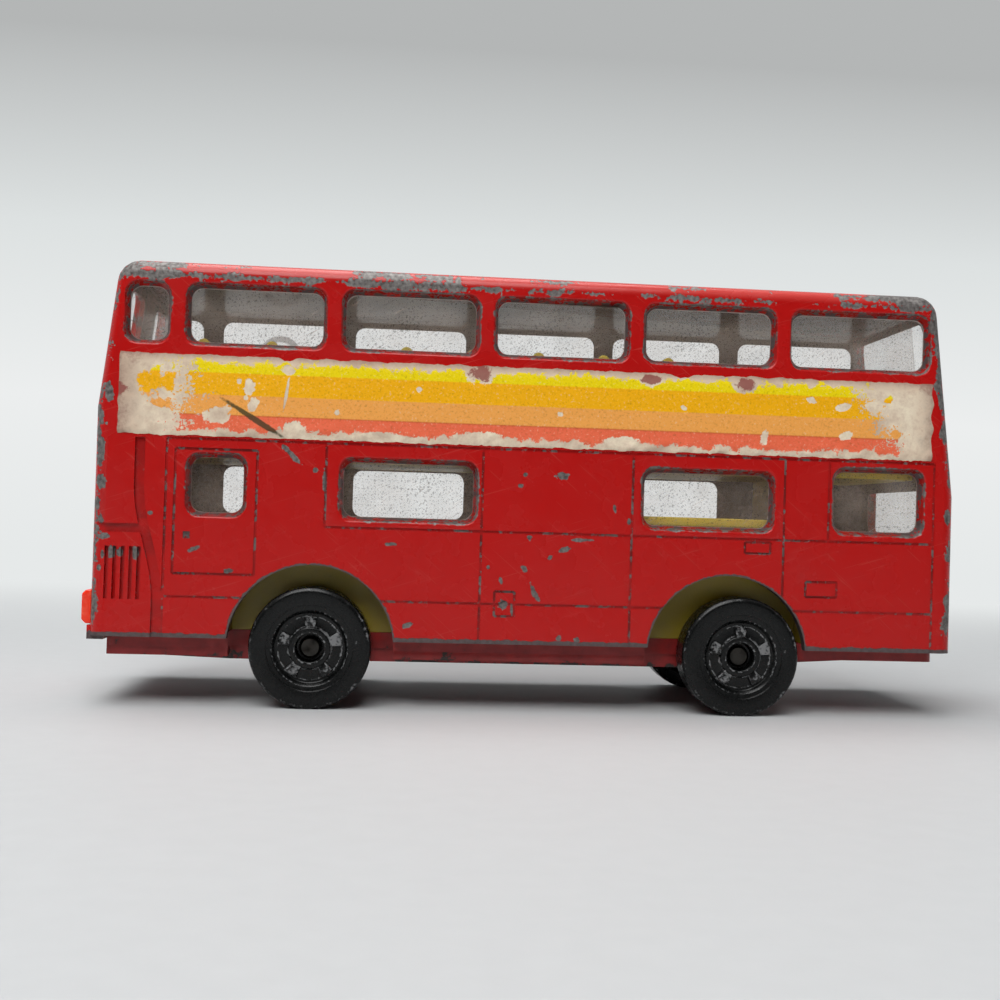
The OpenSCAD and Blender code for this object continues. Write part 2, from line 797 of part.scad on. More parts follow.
module lower_saloon() {
    rear_x = -half_len + saloon_end;
    front_x = half_len - saloon_end;
    post_gap = post_r + fit_gap;
    first_x = rear_axle_x + arch_r + box_wall + seat_pitch / 2;
    color("#b9a63c") placed() {
        difference() {
            union() {
                rounded_plate(rear_x, front_x, base_half_w, base_top_z, lower_floor_z, glaze_corner_r);
                bulkhead(rear_x);
                bulkhead(front_arch_x + arch_r + box_wall - bulkhead_t);
                both_sides() {
                    wheel_box(rear_axle_x, rear_box_z);
                    wheel_box(front_arch_x, front_box_z);
                }
            }
            both_sides() {
                for (x = [rear_axle_x, front_arch_x]) {
                    translate([x - arch_r, -half_w, base_top_z - over])
                        cube([2 * arch_r, half_w - well_in_y, moulding_t + 2 * over]);
                }
            }
            for (x = [-rivet_x, rivet_x]) {
                translate([x, 0, base_top_z - over])
                    cylinder(h = post_top_z - base_top_z + fit_gap + over, r = post_gap);
            }
            translate([-half_len, -post_gap, base_top_z - over])
                cube([half_len - rivet_x, 2 * post_gap, post_top_z - base_top_z + fit_gap + over]);
            translate([rivet_x, -post_gap, base_top_z - over])
                cube([half_len - rivet_x, 2 * post_gap, post_top_z - base_top_z + fit_gap + over]);
        }
        for (x = [first_x:seat_pitch:front_arch_x - arch_r - seat_pitch]) {
            seat_row(x, lower_floor_z, lower_seat_h, saloon_half_w);
        }
        axle_keeper(rear_axle_x);
        axle_keeper(front_axle_x);
    }
}

// An axle wire, with a head spread at each end in the wheel's recess
module axle(x) {
    seat_y = wheel_out_y - recess_depth + head_gap;
    color("#b8b8b4") placed() translate([x, 0, axle_z]) rotate([90, 0, 0]) {
        cylinder(h = 2 * seat_y, r = axle_r, center = true);
        for (side = [0, 1]) {
            mirror([0, 0, side]) translate([0, 0, seat_y]) {
                cylinder(h = head_t - head_edge, r = head_r);
                translate([0, 0, head_t - head_edge])
                    cylinder(h = head_edge, r1 = head_r, r2 = head_r - head_edge);
            }
        }
    }
}

module rear_axle() {
    axle(rear_axle_x);
}

module front_axle() {
    axle(front_axle_x);
}

// The wheel's section, from the axle outwards, with the inner face at zero
module wheel_section() {
    bore_r = axle_r + run_gap;
    floor_y = wheel_w - rim_drop;
    difference() {
        union() {
            translate([bore_r, -hub_boss_t]) square([hub_boss_r - bore_r, hub_boss_t + wheel_w / 2]);
            polygon([
                [bore_r, 0],
                [wheel_r - shoulder_r, 0],
                [wheel_r - shoulder_r, wheel_w],
                [sidewall_r, wheel_w],
                [sidewall_r, wheel_w - sidewall_drop],
                [rim_r, wheel_w - sidewall_drop],
                [rim_r - rim_slope, floor_y],
                [hub_r, floor_y],
                [hub_r, floor_y + hub_rise],
                [bore_r, floor_y + hub_rise]
            ]);
            translate([wheel_r - 2 * shoulder_r, shoulder_r])
                square([2 * shoulder_r, wheel_w - 2 * shoulder_r]);
            for (y = [shoulder_r, wheel_w - shoulder_r]) {
                translate([wheel_r - shoulder_r, y]) circle(r = shoulder_r);
            }
        }
        translate([0, wheel_w - recess_depth]) square([recess_r, recess_depth + over]);
    }
}

// A wheel moulded in one piece, with its outer face at half the track on +Z
module wheel_form() {
    floor_y = wheel_w - rim_drop;
    translate([0, 0, wheel_in_y]) {
        rotate_extrude() wheel_section();
        for (i = [0:block_count - 1]) {
            rotate([0, 0, 90 - block_angle / 2 + i * 360 / block_count]) rotate_extrude(angle = block_angle)
                translate([hub_r - hub_rise / 2, floor_y - block_rise / 2])
                    square([block_r - hub_r + hub_rise / 2, block_rise + block_rise / 2]);
        }
    }
}

module wheel_right(x) {
    color("#1b1c1d") placed() translate([x, 0, axle_z]) rotate([90, 0, 0]) wheel_form();
}

module wheel_left(x) {
    mirror([0, 1, 0]) wheel_right(x);
}

module wheel_rear_right() {
    wheel_right(rear_axle_x);
}

module wheel_rear_left() {
    wheel_left(rear_axle_x);
}

module wheel_front_right() {
    wheel_right(front_axle_x);
}

module wheel_front_left() {
    wheel_left(front_axle_x);
}

// A paper label on the right side, between the belt line and the upper windows
module label_right() {
    x0 = -half_len + label_rear;
    x1 = half_len - label_front;
    color("#e8b12a") placed() upright(-half_w - label_t, -half_w) {
        translate([x0, label_z0 + label_r]) square([x1 - x0, label_h - 2 * label_r]);
        translate([x0 + label_r, label_z0]) square([x1 - x0 - 2 * label_r, label_h]);
        for (x = [x0 + label_r, x1 - label_r], z = [label_z0 + label_r, label_z0 + label_h - label_r]) {
            translate([x, z]) circle(r = label_r);
        }
    }
}

module label_left() {
    mirror([0, 1, 0]) label_right();
}

// A lamp block on the rear wall, held by a peg through the wall
module tail_lamp_right() {
    color("#f04a24") placed() translate([-half_len, -lamp_y, lamp_z]) {
        rotate([0, 90, 0]) cylinder(h = wall, r = lamp_peg_r);
        translate([0, lamp_w / 2, 0]) rotate([90, 0, 0]) linear_extrude(height = lamp_w) polygon([
            [0, -lamp_h / 2],
            [-lamp_proud + lamp_edge, -lamp_h / 2],
            [-lamp_proud, -lamp_h / 2 + lamp_edge],
            [-lamp_proud, lamp_h / 2 - lamp_edge],
            [-lamp_proud + lamp_edge, lamp_h / 2],
            [0, lamp_h / 2]
        ]);
    }
}

module tail_lamp_left() {
    mirror([0, 1, 0]) tail_lamp_right();
}

body_shell();
base_plate();
window_glazing();
upper_saloon();
lower_saloon();
rear_axle();
front_axle();
wheel_rear_right();
wheel_rear_left();
wheel_front_right();
wheel_front_left();
label_right();
label_left();
tail_lamp_right();
tail_lamp_left();
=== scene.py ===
"""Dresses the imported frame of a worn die-cast toy bus and sets it on a pale studio floor."""

import math

import bmesh
import bpy
from mathutils import Matrix, Vector, noise
from mathutils.bvhtree import BVHTree


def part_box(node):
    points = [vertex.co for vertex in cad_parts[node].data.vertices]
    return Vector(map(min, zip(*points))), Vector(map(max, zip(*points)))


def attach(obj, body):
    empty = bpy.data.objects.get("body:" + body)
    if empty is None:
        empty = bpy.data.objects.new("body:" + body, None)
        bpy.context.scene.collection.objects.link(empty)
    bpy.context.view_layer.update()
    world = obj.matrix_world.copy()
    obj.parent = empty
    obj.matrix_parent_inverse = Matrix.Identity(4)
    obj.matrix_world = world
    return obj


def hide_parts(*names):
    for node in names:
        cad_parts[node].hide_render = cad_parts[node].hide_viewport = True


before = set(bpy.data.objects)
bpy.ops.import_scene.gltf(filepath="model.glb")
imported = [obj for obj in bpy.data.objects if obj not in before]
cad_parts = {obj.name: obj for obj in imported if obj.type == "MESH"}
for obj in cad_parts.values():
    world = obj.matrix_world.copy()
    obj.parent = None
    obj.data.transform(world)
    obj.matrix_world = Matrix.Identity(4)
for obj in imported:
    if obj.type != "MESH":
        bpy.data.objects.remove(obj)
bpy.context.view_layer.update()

bl_info = {
    "name": "Die-cast toy bus",
    "version": (1, 0, 0),
    "blender": (4, 5, 0),
    "location": "3D View > Sidebar > Toy bus",
    "description": "Worn enamel, clear windows, seats, labels and wheels for a die-cast double-decker",
    "category": "Object",
}

MM = 0.001
MATH = "ShaderNodeMath"
VECTOR = "ShaderNodeVectorMath"
MIX = "ShaderNodeMix"
RANGE = "ShaderNodeMapRange"
NOISE = "ShaderNodeTexNoise"
CELLS = "ShaderNodeTexVoronoi"
OUTPUT = "ShaderNodeOutputMaterial"
TURN = "ShaderNodeVectorRotate"
SPLIT = "ShaderNodeSeparateXYZ"
SHADER = "ShaderNodeBsdfPrincipled"
BUMP = "ShaderNodeBump"

# The casting, in millimetres from its own middle, which lies a little ahead of the frame's origin
CASTING_MIDDLE = 0.325
HALF_LENGTH = 38.0
HALF_WIDTH = 11.5
ROOF_Z = 38.2
SKIRT_Z = 5.9
# How far below the roof its rounding meets the side walls
ROOF_CREASE = 1.25
# Heights of the level seams, which the paint has filled almost to the top
LEVEL_SEAMS = (22.95, 15.7, 9.4)
# Where the end walls start to lean in, and how steeply
FRONT_LEAN_Z, FRONT_LEAN_SLOPE = 20.0, 1.85 / 16.2
REAR_LEAN_Z, REAR_LEAN_SLOPE = 25.5, 1.3 / 10.7
ARCH_RADIUS = 7.15
ARCH_Z = 5.25
ARCH_XS = (-19.3, 17.3)
WINDOW_RADIUS = 1.3
UPPER_Z = (31.0, 36.4)
LOWER_Z = (16.3, 21.8)
# Openings as left edge, right edge, lower edge and upper edge
UPPER_WINDOWS = [(a, b, *UPPER_Z) for a, b in (
    (-35.9, -31.95), (-30.75, -18.675), (-17.475, -5.4), (-4.2, 7.875), (9.075, 21.15), (22.35, 35.35))]
SHARED_WINDOWS = [(a, b, *LOWER_Z) for a, b in ((-30.3, -25.1), (-17.275, -5.2), (9.275, 21.35))]
CAB_WINDOW = [(26.6, 35.1, 16.3, 22.4)]
LEFT_WINDOWS = [(a, b, *LOWER_Z) for a, b in ((-4.0, 8.075), (26.0, 29.4), (30.2, 33.6))]
FRONT_SCREENS = [(-9.9, 9.9, *UPPER_Z), (-9.9, 9.9, 16.3, 21.1)]
REAR_PANES = [(2.4, 9.1, *UPPER_Z)]


def linear(hex_colour):
    """An sRGB hex colour as linear red, green and blue."""
    parts = [int(hex_colour[i:i + 2], 16) / 255 for i in (1, 3, 5)]
    return tuple(c / 12.92 if c <= 0.04045 else ((c + 0.055) / 1.055) ** 2.4 for c in parts)


def add(tree, kind, *inputs, out=0, **settings):
    """Adds one node with its settings and links, and gives the output that goes on.

    A maths node goes by its operation. The inputs come in the order of the sockets or in a dict.
    """
    if not kind.startswith("ShaderNode"):
        kind, settings["operation"] = MATH, kind
    made = tree.nodes.new(kind)
    for name, value in settings.items():
        setattr(made, name, value)
    named = inputs[0] if inputs and isinstance(inputs[0], dict) else dict(enumerate(inputs))
    for key, value in named.items():
        if isinstance(value, bpy.types.NodeSocket):
            tree.links.new(value, made.inputs[key])
        else:
            made.inputs[key].default_value = value
    return made.outputs[out] if made.outputs else None


def colour(values):
    """A colour property, or an sRGB hex colour, with the alpha that a node's socket wants."""
    return (*(linear(values) if isinstance(values, str) else values[:3]), 1.0)


def blend(tree, share, first, second):
    """Two colours mixed by a share; each is an output, a colour property or an sRGB hex colour."""
    pair = [c if isinstance(c, bpy.types.NodeSocket) else colour(c) for c in (first, second)]
    return add(tree, MIX, {0: share, 6: pair[0], 7: pair[1]}, out=2, data_type="RGBA")


def noise_at(tree, place, size, detail, roughness=0.5):
    """Noise with features of about the given size, in the units of the place."""
    return add(tree, NOISE, {"Vector": place, "Scale": 1 / size, "Detail": detail, "Roughness": roughness})


def apart(tree, first, second):
    """How far two values lie apart."""
    return add(tree, "ABSOLUTE", add(tree, "SUBTRACT", first, second))


def plus(tree, value, *terms):
    """A value with others added, each times its own factor."""
    for other, factor in terms:
        value = add(tree, "MULTIPLY_ADD", other, factor, value)
    return value


def new_material(name):
    """A material and its empty node tree."""
    material = bpy.data.materials.new(name)
    material.use_nodes = True
    tree = material.node_tree
    tree.nodes.clear()
    return material, tree


def coated(material, tree, inputs):
    """Ends a material's tree with one shader of the given inputs."""
    add(tree, OUTPUT, {"Surface": add(tree, SHADER, inputs)})
    return material


def millimetres(tree, middle=0.0):
    """The place on the piece in millimetres, with X counted from the given middle."""
    place = add(tree, "ShaderNodeTexCoord", out="Object")
    place = add(tree, VECTOR, {0: place, "Scale": 1 / MM}, operation="SCALE")
    return add(tree, VECTOR, place, (middle, 0.0, 0.0), operation="SUBTRACT")


def opening_distance(tree, flat, openings):
    """How far a point of a wall, with flat as its place across and up, lies from the nearest rim."""
    nearest = None
    for a, b, low, high in openings:
        half = ((b - a) / 2 - WINDOW_RADIUS, 0.0, (high - low) / 2 - WINDOW_RADIUS)
        away = add(tree, VECTOR, flat, ((a + b) / 2, 0.0, (low + high) / 2), operation="SUBTRACT")
        away = add(tree, VECTOR, away, operation="ABSOLUTE")
        away = add(tree, VECTOR, away, half, operation="SUBTRACT")
        away = add(tree, VECTOR, away, (0.0, 0.0, 0.0), operation="MAXIMUM")
        away = add(tree, VECTOR, away, out="Value", operation="LENGTH")
        nearest = away if nearest is None else add(tree, "MINIMUM", nearest, away)
    return apart(tree, nearest, WINDOW_RADIUS)


def marks(tree, place, spots, rough, ragged=2.0):
    """How far inside the nearest of some marks a point lies: 1 in its middle, 0 at its ragged outline."""
    best = None
    for x, z, length, width, angle in spots:
        away = add(tree, VECTOR, place, (x, 0.0, z), operation="SUBTRACT")
        fall = math.radians(-angle)
        away = add(tree, TURN, {"Vector": away, "Angle": fall}, rotation_type="Y_AXIS")
        away = add(tree, VECTOR, away, (2 / length, 0.0, 2 / width), operation="MULTIPLY")
        away = add(tree, VECTOR, away, out="Value", operation="LENGTH")
        best = away if best is None else add(tree, "MINIMUM", best, away)
    best = add(tree, "SUBTRACT", 1.0, best)
    return add(tree, "MULTIPLY_ADD", rough, ragged, best)


# Chips in the right side's paint that stand out, as X, Z, length, width and fall to the right in degrees
SIDE_CHIPS = [
    (-21.5, 22.0, 2.5, 0.45, 45), (-18.5, 19.7, 2.3, 0.3, 88), (-19.3, 20.6, 0.5, 0.5, 0),
    (-12.5, 14.4, 1.1, 0.4, 0), (-11.0, 7.4, 0.9, 0.4, -25), (-1.1, 20.8, 0.6, 0.5, 30),
    (-1.5, 19.8, 0.45, 0.4, 0), (2.3, 20.8, 1.2, 0.8, 0), (6.9, 18.1, 0.7, 0.3, 80),
    (-0.6, 15.3, 0.55, 0.5, 0), (4.1, 15.2, 1.7, 0.3, -2), (2.5, 14.3, 1.2, 0.45, -18),
    (1.3, 13.6, 0.5, 0.3, -40), (-0.9, 12.5, 1.0, 0.5, 55), (0.05, 10.4, 2.0, 0.6, 62),
    (-3.0, 11.5, 0.7, 0.3, 70), (-2.75, 9.4, 0.75, 0.85, 0), (-1.95, 8.9, 1.0, 0.25, 85),
    (2.25, 6.55, 0.45, 0.5, 0), (3.9, 6.4, 0.6, 0.6, 40), (8.2, 16.9, 0.7, 0.4, 90),
    (-4.1, 12.6, 0.4, 0.35, 60), (-37.5, 21.8, 3.6, 0.8, 88), (-37.3, 19.1, 1.4, 0.8, 80),
    (-37.7, 17.2, 1.1, 0.8, 90), (-37.3, 15.9, 0.9, 0.7, 60), (-36.9, 14.4, 0.95, 0.5, -10),
    (-36.3, 13.1, 1.2, 0.55, 90), (-35.6, 13.1, 0.8, 0.5, 90), (-34.3, 13.1, 1.2, 0.5, 90),
    (-37.0, 12.9, 0.7, 0.35, 90), (-37.3, 11.7, 0.6, 0.4, 90), (-29.4, 13.5, 1.1, 0.5, -20),
    (-26.4, 11.7, 1.1, 0.5, -10), (-33.1, 16.5, 0.5, 0.4, 0), (36.9, 25.9, 2.2, 1.0, 84),
    (36.6, 28.6, 2.6, 0.9, 80), (37.3, 18.2, 1.6, 0.7, 88), (37.4, 10.6, 1.2, 0.6, 88),
    (-36.9, 26.6, 2.0, 0.8, 86),
]


def worn_enamel(look):
    """Stoved enamel, sprayed on a zinc casting: a deep even gloss, chipped to dull metal along every edge."""
    material, tree = new_material("Red enamel on cast zinc")
    place = millimetres(tree, CASTING_MIDDLE)
    x, y, z = add(tree, SPLIT, place).node.outputs
    flat_side = add(tree, VECTOR, place, (1.0, 0.0, 1.0), operation="MULTIPLY")
    abs_y = add(tree, "ABSOLUTE", y)

    # Distances from the four walls, the roof and the skirt's edge
    side = add(tree, "SUBTRACT", HALF_WIDTH, abs_y)
    lean = add(tree, "SUBTRACT", z, FRONT_LEAN_Z)
    lean = add(tree, "MAXIMUM", lean, 0.0)
    front = add(tree, "MULTIPLY_ADD", lean, -FRONT_LEAN_SLOPE, HALF_LENGTH)
    front = add(tree, "SUBTRACT", front, x)
    lean = add(tree, "SUBTRACT", z, REAR_LEAN_Z)
    lean = add(tree, "MAXIMUM", lean, 0.0)
    rear = add(tree, "MULTIPLY_ADD", lean, -REAR_LEAN_SLOPE, HALF_LENGTH)
    rear = add(tree, "ADD", rear, x)
    end = add(tree, "MINIMUM", front, rear)
    top = add(tree, "SUBTRACT", ROOF_Z, z)
    foot = add(tree, "SUBTRACT", z, SKIRT_Z)
    near = add(tree, "MINIMUM", side, end)
    far = add(tree, "MAXIMUM", side, end)
    depth = add(tree, "MINIMUM", near, top)
    # The middle one of the three is the distance to the nearest outer edge of the casting
    far = add(tree, "MINIMUM", far, top)
    form_edge = add(tree, "MAXIMUM", near, far)

    # Rims of the windows and the wheel arches
    on_left = add(tree, "GREATER_THAN", y, 0.0)
    both = opening_distance(tree, flat_side, UPPER_WINDOWS + SHARED_WINDOWS)
    cab = opening_distance(tree, flat_side, CAB_WINDOW)
    cab = add(tree, "MULTIPLY_ADD", on_left, 99.0, cab)
    doors = opening_distance(tree, flat_side, LEFT_WINDOWS)
    on_right = add(tree, "SUBTRACT", 1.0, on_left)
    doors = add(tree, "MULTIPLY_ADD", on_right, 99.0, doors)
    rim = add(tree, "MINIMUM", both, cab)
    rim = add(tree, "MINIMUM", rim, doors)
    arches = None
    for arch_x in ARCH_XS:
        arch = add(tree, VECTOR, flat_side, (arch_x, 0.0, ARCH_Z), out="Value", operation="DISTANCE")
        arch = apart(tree, arch, ARCH_RADIUS)
        arches = arch if arches is None else add(tree, "MINIMUM", arches, arch)
    skirt = add(tree, "SUBTRACT", foot, 0.22)
    arches = add(tree, "MINIMUM", arches, skirt)
    flat_end = add(tree, "ShaderNodeCombineXYZ", abs_y, 0.0, z)
    screens = opening_distance(tree, flat_end, FRONT_SCREENS)
    panes = opening_distance(tree, flat_end, REAR_PANES)
    at_front = add(tree, "GREATER_THAN", x, 0.0)
    end_rim = add(tree, MIX, {0: at_front, 2: panes, 3: screens}, data_type="FLOAT")
    on_side = add(tree, "LESS_THAN", side, end)
    rim = add(tree, MIX, {0: on_side, 2: end_rim, 3: rim}, data_type="FLOAT")

    # Wear comes and goes in steps of about 5 mm, and a chip's outline is ragged at 1 mm and 0.3 mm
    broad = noise_at(tree, place, 5.0, 1.0)
    ragged = noise_at(tree, place, 1.1, 3.0, 0.65)
    fine = noise_at(tree, place, 0.32, 2.0)
    ragged = add(tree, "SUBTRACT", ragged, 0.5)
    fine = add(tree, "SUBTRACT", fine, 0.5)
    broad = add(tree, "SUBTRACT", broad, 0.5)
    rough = add(tree, "MULTIPLY_ADD", fine, 0.5, ragged)

    # Heavy wear at the roof's ends, and a steady thin line along the arches and the skirt
    roof_end = add(tree, "ADD", top, end)
    roof_end = add(tree, RANGE, roof_end, 1.0, 9.0, 1.0, 0.0)
    reach = plus(tree, look.edge_wear / MM, (broad, 4.2), (roof_end, 0.9))
    rear_wear = add(tree, RANGE, rear, 0.0, 2.5, 0.35, 0.0)
    reach = add(tree, "ADD", reach, rear_wear)
    form_chip = add(tree, "SUBTRACT", reach, form_edge)
    form_chip = add(tree, "MULTIPLY_ADD", rough, 2.6, form_chip)
    crease = apart(tree, top, ROOF_CREASE)
    behind = add(tree, RANGE, x, -HALF_LENGTH, 8.0, 0.38, 0.12)
    crease = add(tree, "SUBTRACT", behind, crease)
    crease = plus(tree, crease, (broad, 1.6), (rough, 1.5))
    form_chip = add(tree, "MAXIMUM", form_chip, crease)
    low_chip = add(tree, "SUBTRACT", 0.17, arches)
    low_chip = add(tree, "MULTIPLY_ADD", rough, 0.45, low_chip)
    form_chip = add(tree, "MAXIMUM", form_chip, low_chip)
    rim_reach = add(tree, "MULTIPLY_ADD", broad, 0.5, look.rim_wear / MM)
    rim_chip = add(tree, "SUBTRACT", rim_reach, rim)
    rim_chip = add(tree, "MULTIPLY_ADD", rough, 0.55, rim_chip)
    chip = add(tree, "MAXIMUM", form_chip, rim_chip)

    # Knocks in the open panels, and a sprinkling of small ones
    knock = marks(tree, flat_side, SIDE_CHIPS, rough)
    elsewhere = add(tree, "GREATER_THAN", y, 1.1 - HALF_WIDTH)
    knock = add(tree, "MULTIPLY_ADD", elsewhere, -9.0, knock)
    chip = add(tree, "MAXIMUM", chip, knock)
    pits = add(tree, CELLS, {"Vector": place, "Scale": 1 / 4.6})
    pits = add(tree, "SUBTRACT", 0.035, pits)
    pits = plus(tree, pits, (broad, 0.12), (rough, 0.1))
    chip = add(tree, "MAXIMUM", chip, pits)

    # The floor of a seam, and everything further in, is darkened: dirt in the seams, and painted shade in the
    # deeper grooves and window reveals
    recess = add(tree, RANGE, depth, 0.05, 0.11)
    open_wall = add(tree, RANGE, form_edge, 1.0, 1.5)
    recess = add(tree, "MULTIPLY", recess, open_wall)
    shallow = add(tree, RANGE, depth, 0.2, 0.26, 1.0, 0.0)
    seam = add(tree, "MULTIPLY", recess, shallow)
    for seam_z in LEVEL_SEAMS:
        on_seam = add(tree, "COMPARE", z, seam_z, 0.3)
        on_seam = add(tree, "MULTIPLY_ADD", on_seam, -0.6, 1.0)
        seam = add(tree, "MULTIPLY", seam, on_seam)
        recess = add(tree, "MULTIPLY", recess, on_seam)
    seam_chip = add(tree, "MULTIPLY_ADD", rough, 1.8, -0.06)
    seam_chip = add(tree, "MULTIPLY", seam_chip, seam)
    seam_chip = add(tree, "MULTIPLY", seam_chip, on_side)
    reveal = add(tree, RANGE, depth, 0.3, 0.45)
    at_rim = add(tree, RANGE, rim, 0.45, 0.8, 1.0, 0.0)
    reveal = add(tree, "MULTIPLY", reveal, at_rim)
    reveal_chip = add(tree, "MULTIPLY_ADD", rough, 1.0, 0.03)
    reveal_chip = add(tree, "MULTIPLY", reveal_chip, reveal)
    seam_chip = add(tree, "MAXIMUM", seam_chip, reveal_chip)
    filled = noise_at(tree, place, 3.0, 2.0)
    filled = add(tree, RANGE, filled, 0.38, 0.62, 0.15, 0.75)
    seam = add(tree, "MULTIPLY", seam, filled)
    recess = add(tree, "MULTIPLY", recess, 0.75)
    recess = add(tree, "MULTIPLY", recess, filled)
    recess = add(tree, "MAXIMUM", recess, seam)
    # The end walls get less of this dirt and painted shade than the sides
    less_on_ends = add(tree, RANGE, on_side, 0.0, 1.0, 0.3, 1.0)
    recess = add(tree, "MULTIPLY", recess, less_on_ends)
    chip = add(tree, "MAXIMUM", chip, seam_chip)
    bare = add(tree, RANGE, chip, 0.0, 0.06)
    inside = add(tree, RANGE, depth, 0.95, 1.06)

    # Hair scratches in two directions; real ones are too fine to show, so these are a tenth of a mm wide
    hairs = None
    for angle, long_mm in ((18.0, 5.0), (-40.0, 3.0)):
        turn = math.radians(angle)
        turned = add(tree, TURN, {"Vector": place, "Angle": turn}, rotation_type="Y_AXIS")
        turned = add(tree, VECTOR, turned, (1 / long_mm, 1.0, 1 / 0.11), operation="MULTIPLY")
        hair = noise_at(tree, turned, 1.0, 0.0)
        hair = add(tree, RANGE, hair, 0.78, 0.82)
        hairs = hair if hairs is None else add(tree, "MAXIMUM", hairs, hair)

    # Paint: a slow drift of tone, darker where dirt and painted shade sit in the recesses, paler along a hair
    # scratch
    tone = noise_at(tree, place, 14.0, 2.0)
    red = blend(tree, tone, look.paint, look.paint_faded)
    red = blend(tree, recess, red, look.paint_recess)
    pale = add(tree, "MULTIPLY", hairs, 0.1)
    red = blend(tree, pale, red, "#d88478")
    # Zinc: dull, darker where grease sits and brighter where it is rubbed
    rubbed = add(tree, "MULTIPLY_ADD", rough, 0.9, 0.5)
    rubbed = add(tree, "MULTIPLY_ADD", fine, 1.6, rubbed, use_clamp=True)
    zinc = blend(tree, rubbed, look.zinc_dark, look.zinc)
    # Grease and painted shade: zinc on the skirt and arch edges, in seams and in window reveals is darkened,
    # as these face down or lie in shadow
    grease_and_shade = add(tree, "GREATER_THAN", low_chip, 0.0)
    grease_and_shade = add(tree, "MAXIMUM", grease_and_shade, seam)
    grease_and_shade = add(tree, "MAXIMUM", grease_and_shade, reveal)
    grease_and_shade = add(tree, "MULTIPLY", grease_and_shade, 0.75)
    zinc = blend(tree, grease_and_shade, zinc, "#58494a")
    # Inside, the bare casting is brownish zinc, darkened in part as painted shade, and painted paler under
    # the roof where light falls on the ceiling
    overhead = add(tree, RANGE, z, 33.0, 36.0)
    inner = blend(tree, rubbed, "#7d625b", "#b9aaa1")
    inner = blend(tree, overhead, inner, "#d6d2cc")
    # Painted highlight: the crown of the roof is paled towards pink, in place of the sheen of light on its
    # rounding
    painted_roof_highlight = add(tree, RANGE, z, ROOF_Z - 1.2, ROOF_Z - 0.2, 0.0, 0.42)
    red = blend(tree, painted_roof_highlight, red, "#d4645c")
    skin = blend(tree, bare, red, zinc)
    skin = blend(tree, inside, skin, inner)
    metal = add(tree, "MAXIMUM", bare, inside)
    metallic = add(tree, "MULTIPLY", bare, 0.35)
    gloss = noise_at(tree, place, 2.5, 4.0)
    gloss = add(tree, RANGE, gloss, 0.3, 0.7, 0.2, 0.32)
    roughness = add(tree, MIX, {0: metal, 2: gloss, 3: 0.52}, data_type="FLOAT")
    # A chip lies one paint film, about 0.04 mm, lower, and the paint itself has a slight orange peel
    peel = noise_at(tree, place, 0.6, 1.0)
    height = plus(tree, 0.04, (metal, -0.04), (peel, 0.004))
    grit = add(tree, "MULTIPLY", fine, metal)
    height = add(tree, "MULTIPLY_ADD", grit, 0.016, height)
    normal = add(tree, BUMP, {"Height": height, "Distance": MM, "Strength": 0.8})
    return coated(material, tree, {
        "Base Color": skin, "Metallic": metallic, "Roughness": roughness, "IOR": 1.5,
        "Specular IOR Level": 0.3, "Normal": normal})


def base_enamel(look):
    """The same enamel on the base: duller, with grime, and rubbed to zinc where its lower edges drag."""
    material, tree = new_material("Dark red enamel on the cast base")
    place = millimetres(tree, CASTING_MIDDLE)
    z = add(tree, SPLIT, place, out="Z")
    ragged = noise_at(tree, place, 1.2, 4.0, 0.65)
    broad = noise_at(tree, place, 6.0, 1.0)
    low = add(tree, RANGE, z, 3.75, 4.6, 0.2, 0.0)
    wear = add(tree, "ADD", ragged, low)
    wear = add(tree, "MULTIPLY_ADD", broad, 0.35, wear)
    bare = add(tree, RANGE, wear, 0.84, 0.9)
    grime = add(tree, RANGE, ragged, 0.35, 0.65, 0.0, 0.4)
    red = blend(tree, grime, look.base_paint, "#3c1415")
    skin = blend(tree, bare, red, look.zinc_dark)
    metallic = add(tree, "MULTIPLY", bare, 0.45)
    roughness = add(tree, RANGE, ragged, 0.3, 0.7, 0.32, 0.55)
    height = plus(tree, 0.0, (bare, -0.04), (ragged, 0.02))
    normal = add(tree, BUMP, {"Height": height, "Distance": MM, "Strength": 0.7})
    return coated(material, tree, {
        "Base Color": skin, "Metallic": metallic, "Roughness": roughness, "IOR": 1.5, "Normal": normal})


